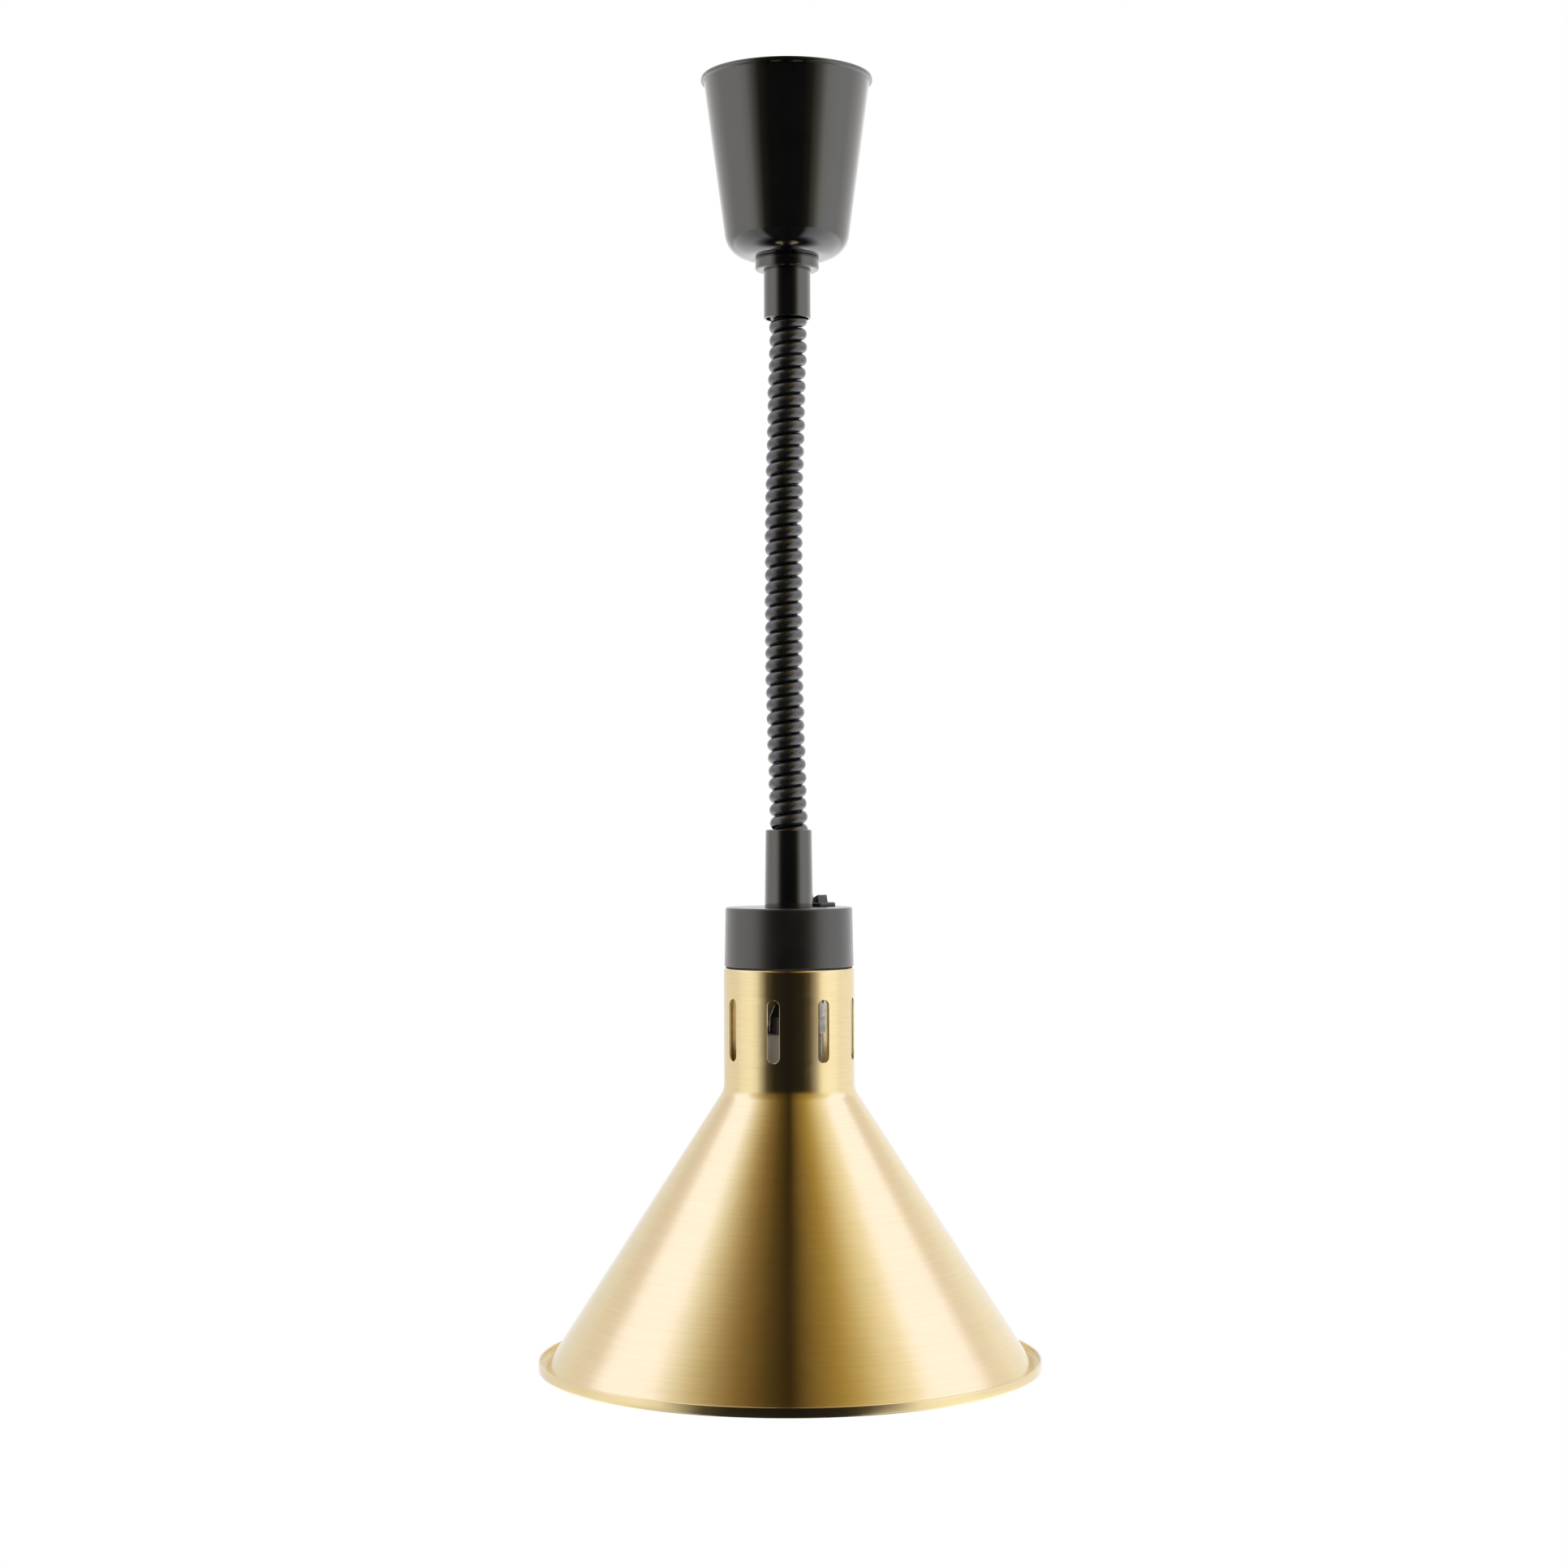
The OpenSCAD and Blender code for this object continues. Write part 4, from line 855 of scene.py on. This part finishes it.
# Slots with plain grain: name, colour, roughness, metallic, grain, stretch, relief and spreads
ACROSS = (1, 0.06, 1)
EVEN = (1, 1, 1)
GRAINED = {
    "zinc_steel": ("zinc_plate", (0.62, 0.63, 0.64), 0.34, 1.0, 300, ACROSS, 1e-5, 0.14, 0.08),
    "dark_steel": ("oiled_steel", (0.2, 0.2, 0.21), 0.36, 1.0, 500, ACROSS, 1e-5, 0.2, 0.08),
    "spring_steel": ("blued_spring", (0.26, 0.3, 0.4), 0.28, 1.0, 400, ACROSS, 6e-6, 0.2, 0.06),
    "brass": ("bright_brass", (0.8, 0.6, 0.28), 0.26, 1.0, 500, ACROSS, 8e-6, 0.12, 0.07),
    "bronze": ("sintered_bronze", (0.5, 0.32, 0.17), 0.48, 1.0, 1800, EVEN, 3e-5, 0.18, 0.1),
    "aluminium": ("spun_aluminium", (0.74, 0.75, 0.76), 0.3, 1.0, 700, ACROSS, 8e-6, 0.08, 0.07),
    "lead_brown": ("silicone_lead", (0.2, 0.075, 0.03), 0.5, 0.0, 500, EVEN, 1e-5, 0.16, 0.05),
    "nylon": ("natural_nylon", (0.72, 0.69, 0.6), 0.42, 0.0, 900, EVEN, 2e-5, 0.06, 0.06),
    "switch_black": ("moulded_black", (0.018, 0.018, 0.019), 0.3, 0.0, 1400, EVEN, 1.5e-5, 0.2, 0.05),
    "fibre": ("pressed_fibre", (0.05, 0.05, 0.05), 0.8, 0.0, 1500, (1, 1, 0.2), 8e-5, 0.3, 0.06),
    "black_glass": ("vitrite", (0.012, 0.012, 0.016), 0.12, 0.0, 300, EVEN, 2e-5, 0.3, 0.04),
    "tungsten": ("tungsten_wire", (0.3, 0.3, 0.31), 0.4, 1.0, 2000, EVEN, 1e-5, 0.15, 0.08)}
GRAINED_IOR = {"switch_black": 1.7}


def slot_materials():
    """One material for each of the record's slots."""
    finish = {
        "gloss_black": gloss_black(), "satin_black": satin_black(), "brushed_gold": brushed_gold(),
        "cord_black": cord_black(), "wire_steel": wire_rope(), "porcelain": porcelain(),
        "stem_glass": clear_glass(), "bulb_glass": bulb_silver()}
    for slot, values in GRAINED.items():
        extra = {"IOR": GRAINED_IOR[slot]} if slot in GRAINED_IOR else {}
        finish[slot] = grained(*values, **extra)
    return finish


def dress(pieces):
    """Gives every CAD node and every new piece its slot's material."""
    finish = slot_materials()
    for part in frame["record"]["subparts"]:
        cover(frame["nodes"][part["node"]], finish[part["material_slot"]])
    for piece in pieces:
        cover(piece, finish[piece["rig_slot"]])
    bulb = bpy.data.objects["reflector_bulb"]
    bulb.data.materials.append(bulb_face())
    for polygon in bulb.data.polygons:
        polygon.material_index = int(polygon.center.z < FACE_EDGE * MM)


def cover(piece, material):
    """Puts one material on the whole of a piece."""
    piece.data.materials.clear()
    piece.data.materials.append(material)
    for polygon in piece.data.polygons:
        polygon.material_index = 0


# ---------- Surroundings and light ----------

# What shiny surfaces see round the lamp, as (azimuth, colour): a dark zone in front between
# bright panels. ABOVE shows in the cone, LEVEL in upright sides, BELOW in what faces downwards.
AROUND_ABOVE = [
    (-180, (1, 1, 1)), (-165, (0.93, 0.93, 0.93)), (-150, (0.74, 0.74, 0.74)),
    (-135, (0.75, 0.69, 0.73)), (-120, (0.84, 0.8, 0.86)), (-112, (1.15, 1.17, 1.5)),
    (-84, (1.15, 1.17, 1.5)), (-74, (0.85, 0.84, 0.8)), (-60, (0.56, 0.47, 0.3)),
    (-48, (0.34, 0.26, 0.13)), (-36, (0.22, 0.145, 0.05)), (-18, (0.09, 0.06, 0.018)),
    (0, (0.022, 0.014, 0.006)), (18, (0.22, 0.145, 0.045)), (36, (0.38, 0.27, 0.07)),
    (48, (0.55, 0.43, 0.2)), (60, (0.76, 0.68, 0.48)), (74, (0.95, 0.9, 0.8)),
    (84, (1.15, 1.17, 1.5)), (112, (1.15, 1.17, 1.5)), (120, (0.84, 0.8, 0.84)),
    (135, (0.82, 0.78, 0.8)), (150, (0.76, 0.76, 0.76)), (165, (0.93, 0.93, 0.93)),
    (180, (1, 1, 1))]
AROUND_LEVEL = [
    (-180, (1, 1, 1)), (-168, (1, 0.99, 0.97)), (-144, (0.86, 0.85, 0.83)),
    (-120, (0.82, 0.79, 0.75)), (-106, (0.8, 0.77, 0.72)), (-90, (0.92, 0.9, 0.88)),
    (-72, (1, 0.98, 0.93)), (-60, (0.86, 0.84, 0.78)), (-50, (0.42, 0.39, 0.33)),
    (-40, (0.08, 0.066, 0.042)), (-27, (0.018, 0.0155, 0.012)), (0, (0.01, 0.01, 0.0095)),
    (24, (0.018, 0.0155, 0.012)), (36, (0.07, 0.058, 0.038)), (48, (0.38, 0.34, 0.28)),
    (60, (0.98, 0.95, 0.85)), (72, (1.05, 1.04, 1)), (88, (1, 1, 1)), (100, (0.9, 0.88, 0.86)),
    (126, (0.95, 0.93, 0.92)), (144, (1, 0.99, 0.97)), (158, (1.1, 1.08, 1.05)), (180, (1, 1, 1))]
AROUND_BELOW = [
    (-180, (1.1, 1.1, 1.1)), (-145, (1.3, 1.3, 1.3)), (-120, (1.15, 1.15, 1.15)),
    (-97, (0.95, 0.95, 0.95)), (-73, (0.68, 0.68, 0.68)), (-54, (0.58, 0.58, 0.58)),
    (-44, (0.04, 0.04, 0.04)), (0, (0.01, 0.011, 0.012)), (32, (0.03, 0.03, 0.03)),
    (44, (0.6, 0.6, 0.6)), (61, (0.85, 0.85, 0.85)), (85, (1.15, 1.15, 1.15)),
    (110, (1.4, 1.4, 1.4)), (145, (1.4, 1.4, 1.4)), (180, (1.1, 1.1, 1.1))]


NADIR = (0.015, 0.015, 0.015, 1)
ZENITH = (0.09, 0.07, 0.04, 1)
DULL_LIGHT = (0.5, 0.5, 0.5, 1)
BACKDROP = (1, 1, 1, 1)


def make_world():
    """Plain pale light on dull surfaces, white to the camera, and a light tent for shiny surfaces."""
    world = bpy.data.worlds.new("studio")
    bpy.context.scene.world = world
    world.use_nodes = True
    world.cycles.sampling_method = "NONE"
    tree = world.node_tree
    tree.nodes.clear()

    def add(kind, **settings):
        made = tree.nodes.new("ShaderNode" + kind)
        for setting, value in settings.items():
            setattr(made, setting, value)
        return made

    def calculate(operation, *values):
        made = add("Math", operation=operation)
        for socket, value in zip(made.inputs, values):
            join(tree, socket, value)
        return made.outputs[0]

    parts = add("SeparateXYZ")
    tree.links.new(add("TexCoord").outputs["Generated"], parts.inputs[0])
    azimuth = calculate("ARCTAN2", parts.outputs["X"], calculate("MULTIPLY", parts.outputs["Y"], -1))
    share = calculate("MULTIPLY_ADD", azimuth, 1 / FULL_TURN, 0.5)

    def ramp(stops):
        made = add("ValToRGB")
        points = made.color_ramp.elements
        for azimuth, colour in stops[1:-1]:
            points.new(azimuth / 360 + 0.5).color = (*colour, 1)
        points[0].color = (*stops[0][1], 1)
        points[-1].color = (*stops[-1][1], 1)
        tree.links.new(share, made.inputs[0])
        return made.outputs[0]

    def mix(factor, a, b):
        made = add("MixRGB")
        for socket, value in zip(made.inputs, (factor, a, b)):
            join(tree, socket, value)
        return made.outputs[0]

    def rise(low, high):
        """0 below one height of the direction's Z and 1 above the other."""
        made = add("MapRange", interpolation_type="SMOOTHSTEP")
        tree.links.new(parts.outputs["Z"], made.inputs["Value"])
        made.inputs["From Min"].default_value = low
        made.inputs["From Max"].default_value = high
        return made.outputs["Result"]

    below = mix(rise(-0.95, -0.75), NADIR, ramp(AROUND_BELOW))
    tent = mix(rise(-0.34, -0.22), below, ramp(AROUND_LEVEL))
    tent = mix(rise(0.2, 0.42), tent, ramp(AROUND_ABOVE))
    tent = mix(rise(0.92, 0.99), tent, ZENITH)
    path = add("LightPath")
    dull = mix(path.outputs["Is Diffuse Ray"], tent, DULL_LIGHT)
    seen = mix(path.outputs["Is Camera Ray"], dull, BACKDROP)
    background = add("Background")
    tree.links.new(seen, background.inputs[0])
    tree.links.new(background.outputs[0], add("OutputWorld").inputs[0])


# Name, azimuth, elevation and strength
LAMPS = (("key", -40, 50, 1.5), ("fill", 55, 30, 0.8), ("back", 170, 35, 0.6))
LAMP_WIDTH = math.radians(50)


def make_lights():
    """Three wide, soft lamps for the dull surfaces and the floor's shadow."""
    for name, azimuth, elevation, strength in LAMPS:
        data = bpy.data.lights.new(name, "SUN")
        data.energy = strength
        data.angle = LAMP_WIDTH
        lamp = bpy.data.objects.new(name, data)
        x, y, z = at(azimuth, math.cos(math.radians(elevation)), math.sin(math.radians(elevation)))
        lamp.rotation_euler = Vector((x, y, z)).to_track_quat("Z", "Y").to_euler()
        lamp.visible_glossy = False
        bpy.context.scene.collection.objects.link(lamp)


FLOOR_R = 5000
Z_FLOOR = -2400
FLOOR_SIDES = 96
FLOOR_PAINT = (0.82, 0.82, 0.82, 1)
FLOOR_GLOW = 0.45


def make_floor():
    """A pale round floor, well below the lamp when it is pulled right down."""
    floor = add_mesh("studio_floor", *flat_disc(FLOOR_R, Z_FLOOR, FLOOR_SIDES))
    floor.visible_glossy = False
    paint = bpy.data.materials.new("floor_paint")
    paint.use_nodes = True
    tree = paint.node_tree
    tree.nodes.clear()
    dull = tree.nodes.new("ShaderNodeBsdfDiffuse")
    dull.inputs["Color"].default_value = FLOOR_PAINT
    glow = tree.nodes.new("ShaderNodeEmission")
    path = tree.nodes.new("ShaderNodeLightPath")
    tree.links.new(path.outputs["Is Camera Ray"], glow.inputs["Strength"])
    both = tree.nodes.new("ShaderNodeMixShader")
    both.inputs[0].default_value = FLOOR_GLOW
    tree.links.new(dull.outputs[0], both.inputs[1])
    tree.links.new(glow.outputs[0], both.inputs[2])
    out = tree.nodes.new("ShaderNodeOutputMaterial")
    tree.links.new(both.outputs[0], out.inputs[0])
    floor.data.materials.append(paint)


def flat_disc(r, z, around):
    """Points and the one face of a level disc."""
    points = [at(360 * k / around, r, z) for k in range(around)]
    return points, [tuple(range(around))]


# ---------- The whole scene ----------

make_camera()
pieces = [
    make_coil_cord(), make_wire(), make_cup(), make_ring(), make_collar(), make_sleeve(),
    make_lamp_cap(), make_switch_body(), make_rocker(), make_shade(), make_bulb()]
dress(pieces)
make_world()
make_lights()
make_floor()
bpy.context.scene.view_settings.view_transform = "Standard"
